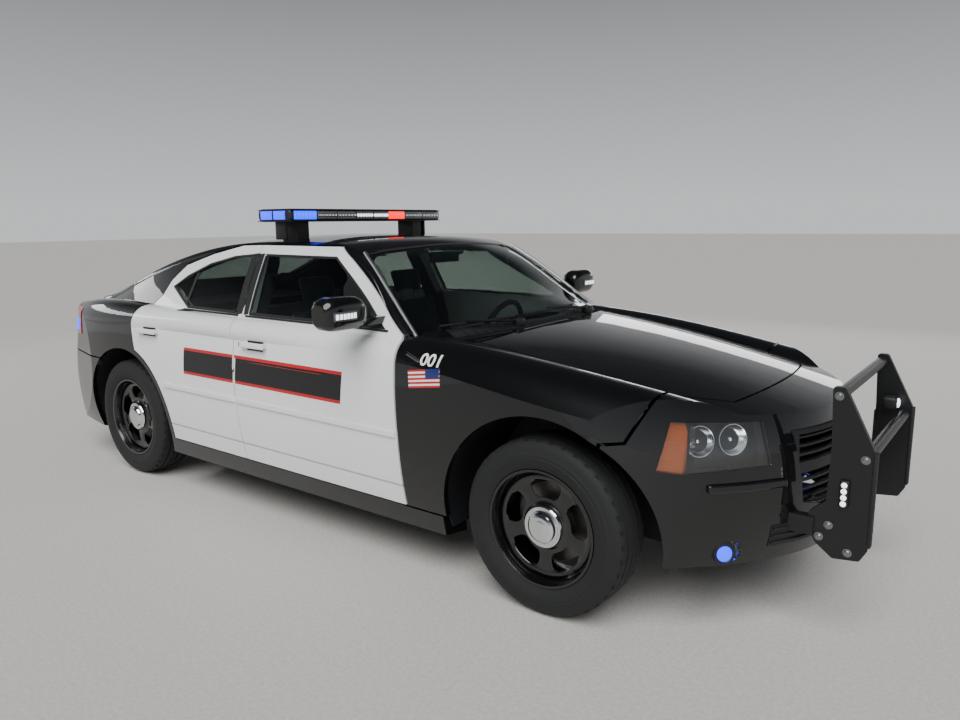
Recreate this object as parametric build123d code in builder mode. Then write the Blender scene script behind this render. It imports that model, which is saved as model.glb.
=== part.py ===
# Full-size four-door patrol sedan with a push bumper and a roof light bar.
# Frame: +X forward, +Y to the car's left, +Z up, millimetres.
# Origin: on the ground, midway between the axles and on the centre plane.
import os
from math import cos, radians, sin, sqrt

from build123d import *

os.makedirs("parts", exist_ok=True)

# Driving dimensions
WHEELBASE = 3048
TRACK = 1603
HALF_LENGTH = 2610          # from mid wheelbase to the rear bumper, and to the push bumper's face
NOSE_X = 2450               # front bumper's foremost point
TYRE_RADIUS = 363.6
TYRE_WIDTH = 225
RIM_RADIUS = 241
ARCH_GAP_FRONT = 106        # tyre to arch lip, radially
ARCH_GAP_REAR = 90
PANEL_GAP = 6               # shut lines between panels
HOOD_LEAD = 3               # the hood's front edge swings forward as it lifts
SKIN = 25                   # fenders, hood, quarters, roof
DOOR_INNER_Y = 828          # inner face of the doors below the belt
FRAME_CLEARANCE = 6         # door to the body frame behind it
DOOR_LAP = 54               # how far the doors lap over their openings
DOOR_OUTER_Y = 960          # the door cuts run from outside the skin
DOOR_DEEPEST_Y = 540        # to inside the thickest door
TOP_CLEARANCE = 6           # more room over the rear doors, which move back under the falling roof rail
LENS_GAP = 0.4              # lamps and glass in their openings
GLASS_DEPTH = 6             # glass behind the surface around it
GLASS = 5
SEAT_GAP = 0.3              # pieces of one body that rest on each other

FRONT_X = WHEELBASE / 2
REAR_X = -WHEELBASE / 2
ARCH_CENTRE_Z = 355
ARCH_FRONT = TYRE_RADIUS + ARCH_GAP_FRONT
ARCH_REAR = TYRE_RADIUS + ARCH_GAP_REAR
ARCH_LIP = 30               # wheel arch lip beside a door or a bumper cover
LINER = 8                   # wheel arch liners and plates
LINER_GAP = 6               # liner behind the arch's lip, radially
STEER_CLEARANCE_Y = 480     # inner wall of the front wheel houses
REAR_HOUSE_Y = 560          # inner wall of the rear wheel houses
FLOOR_Z = 205               # underside of the floor
KINGPIN_Y = 735
TRUNK_HALF_WIDTH = 640
REACH = 1300                # longer than any cut has to be


def save(name, piece):
    piece.label = name
    export_step(piece, "parts/" + name + ".step")


def mirrored(piece):
    """The same piece on the car's left."""
    return mirror(piece, about=Plane.XZ)


def save_pair(name, right_piece):
    save(name + "_right", right_piece)
    save(name + "_left", mirrored(right_piece))


# Body below the windows, as cross-sections. Columns: x, half floor, z floor, half sill, z sill,
# half widest, z widest, half shoulder, z shoulder, half top edge, z top edge, z crown
LOWER_SECTIONS = [
    (FRONT_X + 976, 400, 190, 780, 240, 830, 560, 790, 740, 450, 790, 812),
    (FRONT_X + 716, 500, 188, 860, 225, 890, 580, 850, 775, 545, 838, 868),
    (FRONT_X + 436, 640, 186, 885, 215, 925, 600, 890, 815, 590, 893, 930),
    (FRONT_X, 700, 185, 888, 210, 943, 620, 930, 872, 645, 968, 1005),
    (FRONT_X - 674, 740, 185, 888, 210, 938, 630, 905, 950, 700, 1045, 1068),
    (FRONT_X - 1824, 740, 185, 888, 210, 935, 630, 900, 955, 850, 1062, 1072),
    (REAR_X + 474, 740, 185, 888, 212, 938, 635, 912, 955, 845, 1072, 1090),
    (REAR_X, 700, 186, 888, 218, 945, 650, 925, 945, 790, 1085, 1108),
    (REAR_X - 576, 600, 200, 860, 240, 925, 660, 885, 945, 710, 1066, 1092),
    (REAR_X - 1126, 450, 230, 800, 270, 870, 660, 820, 915, 640, 1010, 1046),
]

# Plan outline of nose and tail at levels. Columns: z, nose setback, tail setback
PLAN_LEVELS = [
    (120, 95, 120),
    (350, 12, 25),
    (600, 0, 0),
    (820, 50, 50),
    (1150, 260, 105),
]

# Body above the belt, as cross-sections. Columns: x, half belt, half rail, z rail, z crown
UPPER_SECTIONS = [
    (FRONT_X - 524, 905, 878, 912, 1036),
    (FRONT_X - 772, 910, 816, 1082, 1206),
    (FRONT_X - 941, 912, 748, 1212, 1320),
    (FRONT_X - 1208, 918, 650, 1396, 1462),
    (FRONT_X - 1364, 920, 644, 1442, 1482),
    (FRONT_X - 1524, 920, 640, 1450, 1489),
    (FRONT_X - 2024, 920, 632, 1448, 1491),
    (FRONT_X - 2424, 915, 632, 1416, 1462),
    (REAR_X + 174, 895, 672, 1318, 1370),
    (REAR_X - 226, 850, 700, 1184, 1222),
    (REAR_X - 626, 790, 700, 1074, 1100),
]
UPPER_BASE_Z = 850


def across(x):
    """A plane square to the car, with local x to the left and local y up."""
    return Plane(origin=(x, 0, 0), x_dir=(0, 1, 0), z_dir=(1, 0, 0))


def arcs_both_sides(points):
    """Three-point arcs through consecutive points, and the same arcs mirrored."""
    for start, through, end in points:
        ThreePointArc(start, through, end)
        ThreePointArc(*[(-y, z) for y, z in (start, through, end)])


def lower_section(row, inset, drop):
    x, floor, z_floor, sill, z_sill, widest, z_widest, shoulder, z_shoulder, top, z_top, z_crown = row
    floor_edge = (floor - inset, z_floor + drop)
    sill_edge = (sill - inset, z_sill + drop)
    belly = (widest - inset, z_widest)
    shoulder_edge = (shoulder - inset, z_shoulder - drop * 0.3)
    top_edge = (top - inset * 0.5, z_top - drop)
    bulge = (
        shoulder_edge[0] * 0.42 + top_edge[0] * 0.58 + (top_edge[1] - shoulder_edge[1]) * 0.28,
        shoulder_edge[1] * 0.42 + top_edge[1] * 0.58 + (shoulder_edge[0] - top_edge[0]) * 0.20,
    )
    with BuildSketch(across(x)) as section:
        with BuildLine():
            Line((-floor_edge[0], floor_edge[1]), floor_edge)
            Line(floor_edge, sill_edge)
            Line((-floor_edge[0], floor_edge[1]), (-sill_edge[0], sill_edge[1]))
            arcs_both_sides([(sill_edge, belly, shoulder_edge), (shoulder_edge, bulge, top_edge)])
            ThreePointArc(top_edge, (0, z_crown - drop), (-top_edge[0], top_edge[1]))
        make_face()
    return section.sketch


def plan_level(z, nose_setback, tail_setback, inset):
    nose = NOSE_X - nose_setback - inset
    tail = -HALF_LENGTH + tail_setback + inset
    with BuildSketch(Plane.XY.offset(z)) as level:
        with BuildLine():
            nose_arc = ThreePointArc((nose - 133, -450), (nose, 0), (nose - 133, 450))
            corner = TangentArc((nose - 133, 450), (nose - 475, 815), tangent=nose_arc % 1)
            flank = TangentArc((nose - 475, 815), (FRONT_X - 324, 990), tangent=corner % 1)
            line = Line(flank @ 1, (REAR_X - 176, 990))
            rear_flank = Line((REAR_X - 176, 990), (tail + 310, 850))
            tail_corner = ThreePointArc((tail + 310, 850), (tail + 140, 745), (tail + 65, 600))
            ThreePointArc((tail + 65, 600), (tail, 0), (tail + 65, -600))
            for edge in (corner, flank, line, rear_flank, tail_corner):
                mirror(edge, about=Plane.XZ)
        make_face()
    return level.sketch


def upper_section(row, inset):
    x, belt, rail, z_rail, z_crown = row
    foot = (belt - inset, UPPER_BASE_Z)
    rail_low = (rail - inset + 12, z_rail - inset * 0.6 - 30)
    rail_high = (rail - inset - 34, z_rail - inset * 0.9 + 10)
    side = ((foot[0] + rail_low[0]) / 2 + 16, (foot[1] + rail_low[1]) / 2)
    turn = (rail - inset - 2, z_rail - inset * 0.75 - 4)
    with BuildSketch(across(x)) as section:
        with BuildLine():
            Line((-foot[0], foot[1]), foot)
            arcs_both_sides([(foot, side, rail_low), (rail_low, turn, rail_high)])
            ThreePointArc(rail_high, (0, z_crown - inset), (-rail_high[0], rail_high[1]))
        make_face()
    return section.sketch


def lower_form(inset, drop, ends=True):
    """The closed form of the body below the windows, drawn in by inset and drop."""
    with BuildPart() as form:
        loft([lower_section(row, inset, drop) for row in LOWER_SECTIONS])
    if not ends:
        return form.part
    with BuildPart() as plan:
        loft([plan_level(z, nose, tail, inset) for z, nose, tail in PLAN_LEVELS])
    return form.part & plan.part


def upper_form(inset):
    with BuildPart() as form:
        loft([upper_section(row, inset) for row in UPPER_SECTIONS])
    return form.part


def body_form(inset, drop, upper_inset, ends=True):
    return lower_form(inset, drop, ends) + upper_form(upper_inset)


# Doors seen from the side. Columns: x, z, half width of the skin there, and how far the shut face
# runs forward for each millimetre towards the cabin, so that the door swings clear of its neighbour
FRONT_DOOR = [
    (826, 308, 912, 0),
    (806, 620, 930, 0),
    (751, 1064, 850, 0),
    (560, 1196, 750, 0),
    (180, 1442, 640, 0),
    (-457, 1444, 640, 0.30),
    (-409, 1062, 850, 0.17),
    (-397, 940, 912, 0.13),
    (-333, 308, 912, 0.12),
]
REAR_DOOR = [
    (-339, 308, 912, 0.12),
    (-403, 940, 912, 0.13),
    (-415, 1062, 850, 0.17),
    (-463, 1444, 640, 0.30),
    (-640, 1439, 640, 0.60),
    (-900, 1388, 640, 0.60),
    (-1130, 1318, 650, 0.42),
    (-1226, 1228, 700, 0.32),
    (-1262, 1140, 745, 0.27),
    (-1353, 1071, 800, 0.20),
    (-1404, 945, 905, 0.14),
    (-1360, 800, 925, 0.14),
    (-1050, 308, 905, 0.18),
]
ARCH_SHUT_SLOPE = 0.18      # the same, along the rear wheel arch

# Other panel outlines seen from the side, as (x, z) points
FRONT_WINDOW = [(648, 1078), (172, 1392), (-404, 1396), (-366, 1078)]
REAR_WINDOW = [(-466, 1078), (-506, 1394), (-680, 1380), (-900, 1334), (-1080, 1262), (-1196, 1190), (-960, 1080)]
FENDER = [(829, 308), (809, 620), (757, 1061), (806, 1061), (806, 1300), (1950, 1300), (1935, 930),
          (1862, 767), (1780, 759), (1780, 308)]
BODY_SIDE = [(1036, 120), (1036, 302), (800, 302), (730, 1067), (800, 1067), (800, 1600), (-2700, 1600),
             (-2700, 727), (-1700, 727), (-1700, 120)]
FRONT_BUMPER = [(1786, 280), (1786, 753), (1866, 761), (1941, 927), (1956, 1300), (2700, 1300), (2700, 280)]
REAR_BUMPER = [(-1700, 100), (-1700, 721), (-2700, 721), (-2700, 100)]
TAIL_LAMP = [(-2290, 1040), (-2700, 1022), (-2700, 842), (-2330, 852)]

# Inner faces of the doors, as sections. Columns: x, then (half width, z) up the door
DOOR_INNER_SECTIONS = [
    (1100, [(DOOR_INNER_Y, 250), (DOOR_INNER_Y, 830), (782, 1064), (606, 1448)]),
    (-500, [(DOOR_INNER_Y, 250), (DOOR_INNER_Y, 830), (782, 1064), (604, 1448)]),
    (-1500, [(DOOR_INNER_Y, 250), (DOOR_INNER_Y, 830), (760, 1064), (556, 1448)]),
]


def from_side(points, grow=0.0, inner=0.0, outer=REACH):
    """A prism across the car's right half, with its outline grown on all sides."""
    with BuildPart() as prism:
        with BuildSketch(Plane.XZ.offset(inner)):
            with BuildLine():
                Polyline(*points, close=True)
            make_face()
            if grow:
                offset(amount=grow, kind=Kind.INTERSECTION)
        extrude(amount=outer - inner)
    return prism.part


def disc(x, radius, inner=0.0, outer=REACH, z=ARCH_CENTRE_Z):
    """A disc about a right wheel's axle, from one distance off the centre plane to another."""
    with BuildPart() as built:
        with BuildSketch(Plane.XZ.offset(inner)):
            with Locations((x, z)):
                Circle(radius)
        extrude(amount=outer - inner)
    return built.part


def in_plan(outline, low, high, grow=0.0):
    """A prism standing between two heights, its outline drawn by a function in plan."""
    with BuildPart() as prism:
        with BuildSketch(Plane.XY.offset(low)):
            with BuildLine():
                outline()
            make_face()
            if grow:
                offset(amount=grow, kind=Kind.INTERSECTION)
        extrude(amount=high - low)
    return prism.part


def block(x0, x1, y0, y1, z0, z1):
    with BuildPart() as built:
        with Locations(((x0 + x1) / 2, (y0 + y1) / 2, (z0 + z1) / 2)):
            Box(x1 - x0, y1 - y0, z1 - z0)
    return built.part


def hood_outline(lead=0):
    """The hood's outline, with its front edge moved back by a lead."""
    rear_corner, mid_side, front_side, front_corner = (942, 650), (1500, 648), (1958, 580), (2124 - lead, 463)
    ThreePointArc(rear_corner, (1042, 0), (942, -650))
    ThreePointArc(front_corner, (2172 - lead, 0), (2124 - lead, -463))
    for side in (1, -1):
        flip = [(x, side * y) for x, y in (rear_corner, mid_side, front_side, front_corner)]
        Line(flip[0], flip[1])
        ThreePointArc(flip[1], (1740, side * 625), flip[2])
        Line(flip[2], flip[3])


def windscreen_outline():
    ThreePointArc((787, 785), (978, 0), (787, -785))
    ThreePointArc((318, 606), (386, 0), (318, -606))
    for side in (1, -1):
        Line((787, side * 785), (318, side * 606))


def roof_outline():
    ThreePointArc((308, 576), (376, 0), (308, -576))
    ThreePointArc((-1084, 560), (-1050, 0), (-1084, -560))
    for side in (1, -1):
        Polyline((308, side * 576), (-700, side * 576), (-1084, side * 560))


def back_glass_outline():
    ThreePointArc((-1092, 566), (-1058, 0), (-1092, -566))
    ThreePointArc((-1790, 610), (-1850, 0), (-1790, -610))
    for side in (1, -1):
        Line((-1092, side * 566), (-1790, side * 610))


def trunk_outline():
    ThreePointArc((-1802, 640), (-1862, 0), (-1802, -640))
    for side in (1, -1):
        Line((-1802, side * 640), (-2750, side * 640))
    Line((-2750, 640), (-2750, -640))


def cowl_outline():
    ThreePointArc((787, 785), (978, 0), (787, -785))
    ThreePointArc((850, 785), (1036, 0), (850, -785))
    for side in (1, -1):
        Line((787, side * 785), (850, side * 785))


def door_inner(inward):
    """The space inside the doors' inner faces, drawn in by a distance on each side."""
    with BuildPart() as space:
        for x, side in DOOR_INNER_SECTIONS:
            with BuildSketch(across(x)):
                with BuildLine():
                    points = [(half - inward, z) for half, z in side]
                    Polyline(*points, *[(-half, z) for half, z in reversed(points)], close=True)
                make_face()
        loft(ruled=True)
    return space.part


# Closed forms that the panels are cut from
outer = body_form(0, 0, 0)
skin_inner = body_form(SKIN, SKIN, SKIN)
right_half = block(-3000, 3000, -REACH, 0, 100, 1700)
outer_right = outer & right_half
skin_inner_right = skin_inner & right_half


def skin(cut, source=outer, inside=skin_inner):
    """A body panel: the part of the outer form inside a cut, one skin thick."""
    return (source & cut) - (inside & cut)


def side_outline(table):
    return [(x, z) for x, z, half, slope in table]


def door_prism(table, grow, lift=0):
    """A prism across the right side whose shut faces run forward towards the cabin."""
    with BuildPart() as prism:
        for width in (DOOR_OUTER_Y, DOOR_DEEPEST_Y):
            with BuildSketch(Plane.XZ.offset(width)):
                with BuildLine():
                    Polyline(*[(x + slope * (half - width), z + (lift if z > 1200 else 0))
                               for x, z, half, slope in table], close=True)
                make_face()
                offset(amount=grow, kind=Kind.INTERSECTION)
        loft(ruled=True)
    return prism.part


def arch_shut(radius):
    """The rear doors' edge round the wheel arch, running forward towards the cabin."""
    with BuildPart() as built:
        for width in (DOOR_OUTER_Y, DOOR_DEEPEST_Y):
            with BuildSketch(Plane.XZ.offset(width)):
                with Locations((REAR_X + ARCH_SHUT_SLOPE * (930 - width), ARCH_CENTRE_Z)):
                    Circle(radius)
        loft(ruled=True)
    return built.part


def front_door_cut(grow, lift=0):
    return door_prism(FRONT_DOOR, grow, lift)


def rear_door_cut(grow, lift=0):
    """The rear door's outline, kept off the wheel arch by the arch's lip."""
    return door_prism(REAR_DOOR, grow, lift) - arch_shut(ARCH_REAR + ARCH_LIP - grow)


# Doors
def door(cut, window):
    with BuildPart() as built:
        add(outer_right)
        add(cut(-PANEL_GAP / 2), mode=Mode.INTERSECT)
        add(door_inner(0), mode=Mode.SUBTRACT)
        add(from_side(window), mode=Mode.SUBTRACT)
    return built.part


front_door = door(front_door_cut, FRONT_WINDOW)
rear_door = door(rear_door_cut, REAR_WINDOW)

# Cabin space, seen from the front and from the side
with BuildPart() as cabin:
    with BuildSketch(Plane.YZ):
        with BuildLine():
            Polyline((-745, 150), (745, 150), (745, 830), (712, 1064), (548, 1400), (420, 1440),
                     (-420, 1440), (-548, 1400), (-712, 1064), (-745, 830), close=True)
        make_face()
    extrude(amount=3000, both=True)
    with BuildSketch(Plane.XZ):
        with BuildLine():
            Polyline((1060, 150), (1060, 700), (930, 960), (330, 1440), (-1000, 1440), (-1560, 1150),
                     (-1560, 1040), (-1180, 900), (-1180, 150), close=True)
        make_face()
    extrude(amount=REACH, both=True, mode=Mode.INTERSECT)

door_frame_face = door_inner(FRAME_CLEARANCE)
roof_cut = in_plan(roof_outline, 1200, 1600)
windscreen_cut = in_plan(windscreen_outline, 900, 1600)
back_glass_cut = in_plan(back_glass_outline, 1080, 1600)
trunk_cut = in_plan(trunk_outline, 724, 1600)

# Hinge leaves between the pillars and the doors. Columns: x, z
HINGE_LEAVES = [(790, 435), (760, 735), (-382, 435), (-412, 735)]

# Body side: rocker, pillars, roof rail and quarter panel in one pressing
rear_doorway = from_side(side_outline(REAR_DOOR), -DOOR_LAP) - disc(REAR_X, ARCH_REAR + ARCH_LIP + DOOR_LAP)
rear_cut = block(-2700, -1180, -REACH, 0, 100, 1700)
with BuildPart() as body_side:
    add(outer_right)
    add(block(-2700, 1060, -REACH, -540, 100, 1600), mode=Mode.INTERSECT)
    add(from_side(BODY_SIDE), mode=Mode.INTERSECT)
    add(cabin.part, mode=Mode.SUBTRACT)
    add(skin_inner_right & rear_cut, mode=Mode.SUBTRACT)
    add(front_door_cut(PANEL_GAP / 2) - door_frame_face, mode=Mode.SUBTRACT)
    add(rear_door_cut(PANEL_GAP / 2, TOP_CLEARANCE) - door_frame_face, mode=Mode.SUBTRACT)
    add(from_side(side_outline(FRONT_DOOR), -DOOR_LAP), mode=Mode.SUBTRACT)
    add(rear_doorway, mode=Mode.SUBTRACT)
    add(disc(REAR_X, ARCH_REAR, 450), mode=Mode.SUBTRACT)
    add(disc(REAR_X, ARCH_REAR + LINER_GAP + LINER + SEAT_GAP, 540) & skin_inner_right, mode=Mode.SUBTRACT)
    for cut in (roof_cut, windscreen_cut, back_glass_cut, trunk_cut):
        add(cut, mode=Mode.SUBTRACT)
    add(from_side(TAIL_LAMP, LENS_GAP, 600), mode=Mode.SUBTRACT)
    for x, z in HINGE_LEAVES:
        add(block(x - 15, x + 15, -DOOR_INNER_Y + SEAT_GAP, -DOOR_INNER_Y + 30, z - 35, z + 35))
save_pair("body_side", body_side.part)

# Roof, hood, trunk lid, fenders and bumper covers
def both_sides(piece):
    """One node holding a right piece and its mirror image."""
    with BuildPart() as pair:
        add(piece)
        mirror(about=Plane.XZ)
    return pair.part


hood_cut = in_plan(hood_outline, 700, 1400)
front_arch = disc(FRONT_X, ARCH_FRONT, 400)
save("roof_panel", skin(in_plan(roof_outline, 1200, 1600, -1)))
save("hood", skin(in_plan(lambda: hood_outline(HOOD_LEAD), 700, 1400, -PANEL_GAP)))
trunk_lid = skin(in_plan(trunk_outline, 727, 1600, -PANEL_GAP))

fender_cut = from_side(FENDER, -PANEL_GAP / 2, 540) - front_arch - hood_cut - windscreen_cut
fender_cut = fender_cut - block(700, 1000, -650, 0, 900, 1200)
save("front_fenders", both_sides(skin(fender_cut, outer_right, skin_inner_right)))

# Headlamps stand across the corner of the nose
LAMP_PLANE = Plane(origin=(2150, -670, 0), x_dir=(0.71, 0.70, 0), z_dir=(0.70, -0.71, 0))
HEADLAMP = [(-234, 665), (-176, 838), (185, 822), (214, 662), (-130, 650)]


def lamp_prism(grow):
    with BuildPart() as prism:
        with BuildSketch(LAMP_PLANE):
            with BuildLine():
                Polyline(*HEADLAMP, close=True)
            make_face()
            if grow:
                offset(amount=grow, kind=Kind.INTERSECTION)
        extrude(amount=200, both=True)
    return prism.part


GRILLE = [(-395, 778), (395, 778), (372, 500), (250, 468), (-250, 468), (-372, 500)]


def grille_outline(grow):
    with BuildPart() as prism:
        with BuildSketch(Plane.YZ.offset(2100)):
            with BuildLine():
                Polyline(*GRILLE, close=True)
            make_face()
            if grow:
                offset(amount=grow, kind=Kind.INTERSECTION)
        extrude(amount=600)
    return prism.part


def fog_hole(radius):
    with BuildPart() as hole:
        with BuildSketch(Plane.YZ.offset(1950)):
            with Locations((-620, 334)):
                Circle(radius)
        extrude(amount=600)
    return hole.part


nose_cut = from_side(FRONT_BUMPER, -PANEL_GAP / 2, 0.0)
with BuildPart() as bumper_right:
    add(skin(nose_cut, outer_right, skin_inner_right))
    for cut in (front_arch, hood_cut, lamp_prism(LENS_GAP), grille_outline(LENS_GAP), fog_hole(45 + LENS_GAP)):
        add(cut, mode=Mode.SUBTRACT)
save("front_bumper_cover", bumper_right.part + mirrored(bumper_right.part))

headlamp = skin(lamp_prism(0) & nose_cut, outer_right, skin_inner_right)
save("headlamps", both_sides(headlamp))
save("fog_lamps", both_sides(skin(fog_hole(45) & nose_cut, outer_right, skin_inner_right)))

# Grille: a frame and a field of bars, on one curve across the nose
def nose_slab(front, back):
    """A slab bowed like the nose in plan, between two distances behind it."""
    def outline():
        ThreePointArc((2317 - front, -450), (NOSE_X - front, 0), (2317 - front, 450))
        ThreePointArc((2317 - back, -450), (NOSE_X - back, 0), (2317 - back, 450))
        for side in (1, -1):
            Line((2317 - front, side * 450), (2317 - back, side * 450))
    return in_plan(outline, 450, 800)


with BuildPart() as grille:
    with BuildSketch(Plane.YZ.offset(2100)):
        with BuildLine():
            Polyline(*GRILLE, close=True)
        make_face()
        offset(amount=-LENS_GAP, kind=Kind.INTERSECTION)
        offset(amount=-18, kind=Kind.INTERSECTION, mode=Mode.SUBTRACT)
    extrude(amount=600)
    add(nose_slab(22, 52), mode=Mode.INTERSECT)
with BuildPart() as grille_bars:
    with BuildSketch(Plane.YZ.offset(2100)):
        with Locations((0, 623)):
            Rectangle(36, 340)
            Rectangle(770, 30)
        with Locations(*[(0, 500 + 35 * row) for row in range(8)]):
            Rectangle(760, 8)
    extrude(amount=600)
    add(nose_slab(30, 48), mode=Mode.INTERSECT)
    add(grille_outline(-LENS_GAP), mode=Mode.INTERSECT)
save("grille", grille.part + grille_bars.part)

save("trunk_lid", trunk_lid)
tail_lamp = skin(from_side(TAIL_LAMP, 0, TRUNK_HALF_WIDTH + 6), outer_right, skin_inner_right)
save("tail_lamps", both_sides(tail_lamp))
rear_bumper_cut = from_side(REAR_BUMPER, -PANEL_GAP / 2)
PIPE_Z = 262
with BuildPart() as rear_bumper:
    add(skin(rear_bumper_cut, outer_right, skin_inner_right))
    add(disc(REAR_X, ARCH_REAR, 400), mode=Mode.SUBTRACT)
    add(block(-2500, -1700, -790, 1, 100, 330), mode=Mode.SUBTRACT)
    add(block(-2700, -2400, -570, -470, 100, PIPE_Z + 42), mode=Mode.SUBTRACT)
rear_bumper = rear_bumper.part
save("rear_bumper_cover", rear_bumper + mirrored(rear_bumper))

# Glass
glass_outer = upper_form(GLASS_DEPTH)
glass_inner = upper_form(GLASS_DEPTH + GLASS)


def pane(cut):
    return (glass_outer & cut) - (glass_inner & cut)


save("windscreen", pane(in_plan(windscreen_outline, 960, 1600, -LENS_GAP)))
save("rear_window", pane(in_plan(back_glass_outline, 1080, 1600, -LENS_GAP)))
for name, window in (("front_window", FRONT_WINDOW), ("rear_door_window", REAR_WINDOW)):
    save_pair(name, pane(from_side(window, -LENS_GAP, 300)))

save_pair("front_door", front_door)
save_pair("rear_door", rear_door)

# Cowl, firewall, floor, wheel houses
FIREWALL_X = 945
save("cowl_panel", outer & in_plan(cowl_outline, 955, 1200, -SEAT_GAP) & block(800, 1100, -646, 646, 955, 1200))

with BuildPart() as floor_pan:
    with BuildSketch(Plane.YZ.offset(-1180)):
        with BuildLine():
            Polyline((-744.7, FLOOR_Z), (-744.7, FLOOR_Z + 30), (-150, FLOOR_Z + 30), (-115, FLOOR_Z + 190),
                     (115, FLOOR_Z + 190), (150, FLOOR_Z + 30), (744.7, FLOOR_Z + 30), (744.7, FLOOR_Z),
                     (115, FLOOR_Z), (85, FLOOR_Z + 160), (-85, FLOOR_Z + 160), (-115, FLOOR_Z), close=True)
        make_face()
    extrude(amount=1180 + FIREWALL_X - 12 - SEAT_GAP)
    for side in (1, -1):
        with Locations((-1180, side * (REAR_HOUSE_Y + 100), FLOOR_Z)):
            Box(100, 200, 100, mode=Mode.SUBTRACT)
save("floor_pan", floor_pan.part)


def arch_liner(x, radius, inner_y, skin_right):
    """A half tube over a wheel, out to the body's skin, with its inner wall."""
    with BuildPart() as liner:
        with BuildSketch(Plane.XZ.offset(inner_y)):
            with Locations((x, ARCH_CENTRE_Z)):
                Circle(radius + LINER)
        extrude(amount=500)
        with BuildSketch(Plane.XZ.offset(inner_y + LINER)):
            with Locations((x, ARCH_CENTRE_Z)):
                Circle(radius)
        extrude(amount=500, mode=Mode.SUBTRACT)
    above_floor = block(x - 700, x + 700, -REACH, 0, 250, 1100)
    return (liner.part & above_floor) & skin_right.moved(Location((0, SEAT_GAP, 0)))


def axle_opening(x, inner_y):
    return block(x - 130, x + 150, -inner_y - LINER - 2, -inner_y + 2, 200, 430)


front_liner = arch_liner(FRONT_X, ARCH_FRONT + LINER_GAP, STEER_CLEARANCE_Y, skin_inner_right)
save("front_wheel_houses", both_sides(front_liner))
rear_liner = arch_liner(REAR_X, ARCH_REAR + LINER_GAP, REAR_HOUSE_Y, skin_inner_right)
rear_liner = rear_liner - axle_opening(REAR_X, REAR_HOUSE_Y)
save("rear_wheel_houses", both_sides(rear_liner))


def rounded_block(x0, x1, y0, y1, z0, z1, radius):
    with BuildPart() as built:
        with Locations(((x0 + x1) / 2, (y0 + y1) / 2, (z0 + z1) / 2)):
            Box(x1 - x0, y1 - y0, z1 - z0)
        fillet(built.edges(), radius)
    return built.part


def bar(start, end, radius):
    """A round bar between two points."""
    direction = Vector(*end) - Vector(*start)
    with BuildPart() as built:
        with BuildSketch(Plane(origin=start, z_dir=direction)):
            Circle(radius)
        extrude(amount=direction.length)
    return built.part


def joined(*pieces):
    with BuildPart() as built:
        for piece in pieces:
            add(piece)
    return built.part


# Bay structure: firewall, upper rails over the wheels, front rails and the lamp panel
RAIL_Y = 400
under_hood = skin_inner.moved(Location((0, 0, -8)))
firewall = block(FIREWALL_X - 12, FIREWALL_X + 12, -744.7, 744.7, FLOOR_Z, 954.7) & under_hood
apron = block(FIREWALL_X + 12, 1950, -676, -660, ARCH_CENTRE_Z + ARCH_FRONT + 16, 1000)
apron = apron & skin_inner_right.moved(Location((0, 0, -SEAT_GAP)))
front_rail = block(FIREWALL_X + 12, 2290, -RAIL_Y - 35, -RAIL_Y + 35, 380, 500)
lamp_panel = block(2014, 2040, -700, 700, 380, 950) & skin_inner.moved(Location((0, 0, -SEAT_GAP)))
with BuildPart() as bay:
    add(firewall)
    add(apron)
    add(mirrored(apron))
    add(front_rail)
    add(mirrored(front_rail))
    add(lamp_panel)
save("front_structure", bay.part)

# Rear structure: bulkhead behind the seat, parcel shelf, trunk floor and rails
with BuildPart() as tray:
    add(block(-1310, -1290, -540, 540, FLOOR_Z + 30, 1040))
    add(block(-1800, -1290, -540, 540, 1040, 1052))
    add(block(-2560, -1290, -REAR_HOUSE_Y + SEAT_GAP, REAR_HOUSE_Y - SEAT_GAP, 430, 442))
    for y in (-RAIL_Y, RAIL_Y):
        add(block(-2440, -1290, y - 35, y + 35, 395, 430))
tail_space = skin_inner & block(-2700, -2450, -400, 400, 430, 780)
tail_panel = tail_space.moved(Location((SEAT_GAP, 0, 0))) - tail_space.moved(Location((12, 0, 0)))
with BuildPart() as rear_structure:
    add(tray.part & skin_inner.moved(Location((2, 0, -8))))
    add(tail_panel)
save("rear_structure", rear_structure.part)

# Engine: one plain block at its place
save("engine_block", rounded_block(1180, 1880, -260, 260, 330.3, 860, 40))

# Exhaust and tank under the floor
tail_pipes = [bar((-2570, y, PIPE_Z), (-2100, y, PIPE_Z), 30) for y in (-520, 520)]
mufflers = [rounded_block(-2340, -2040, y - 110, y + 110, 215, 325, 40) for y in (-520, 520)]
hangers = [block(-2200, -2180, y - 8, y + 8, 280, 395 - SEAT_GAP) for y in (-427, 427)]
save("exhaust", joined(*tail_pipes, *mufflers, *hangers))
save("fuel_tank", rounded_block(-1290, -1000, -330, 330, 180, FLOOR_Z - SEAT_GAP, 10))

# Wheels: columns are distance out from the tyre's middle plane, and radius
HALF_TYRE = TYRE_WIDTH / 2
WHEEL_Y = TRACK / 2


def turned(points, x, fillets=0.0):
    """A body turned about a right wheel's axle from (distance out, radius) points."""
    with BuildPart() as built:
        with BuildSketch(Plane(origin=(x, -WHEEL_Y, TYRE_RADIUS), x_dir=(0, -1, 0), z_dir=(1, 0, 0))) as section:
            with BuildLine():
                Polyline(*points, close=True)
            make_face()
            if fillets:
                fillet(section.vertices(), fillets)
        revolve(axis=Axis((x, -WHEEL_Y, TYRE_RADIUS), (0, 1, 0)))
    return built.part


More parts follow.
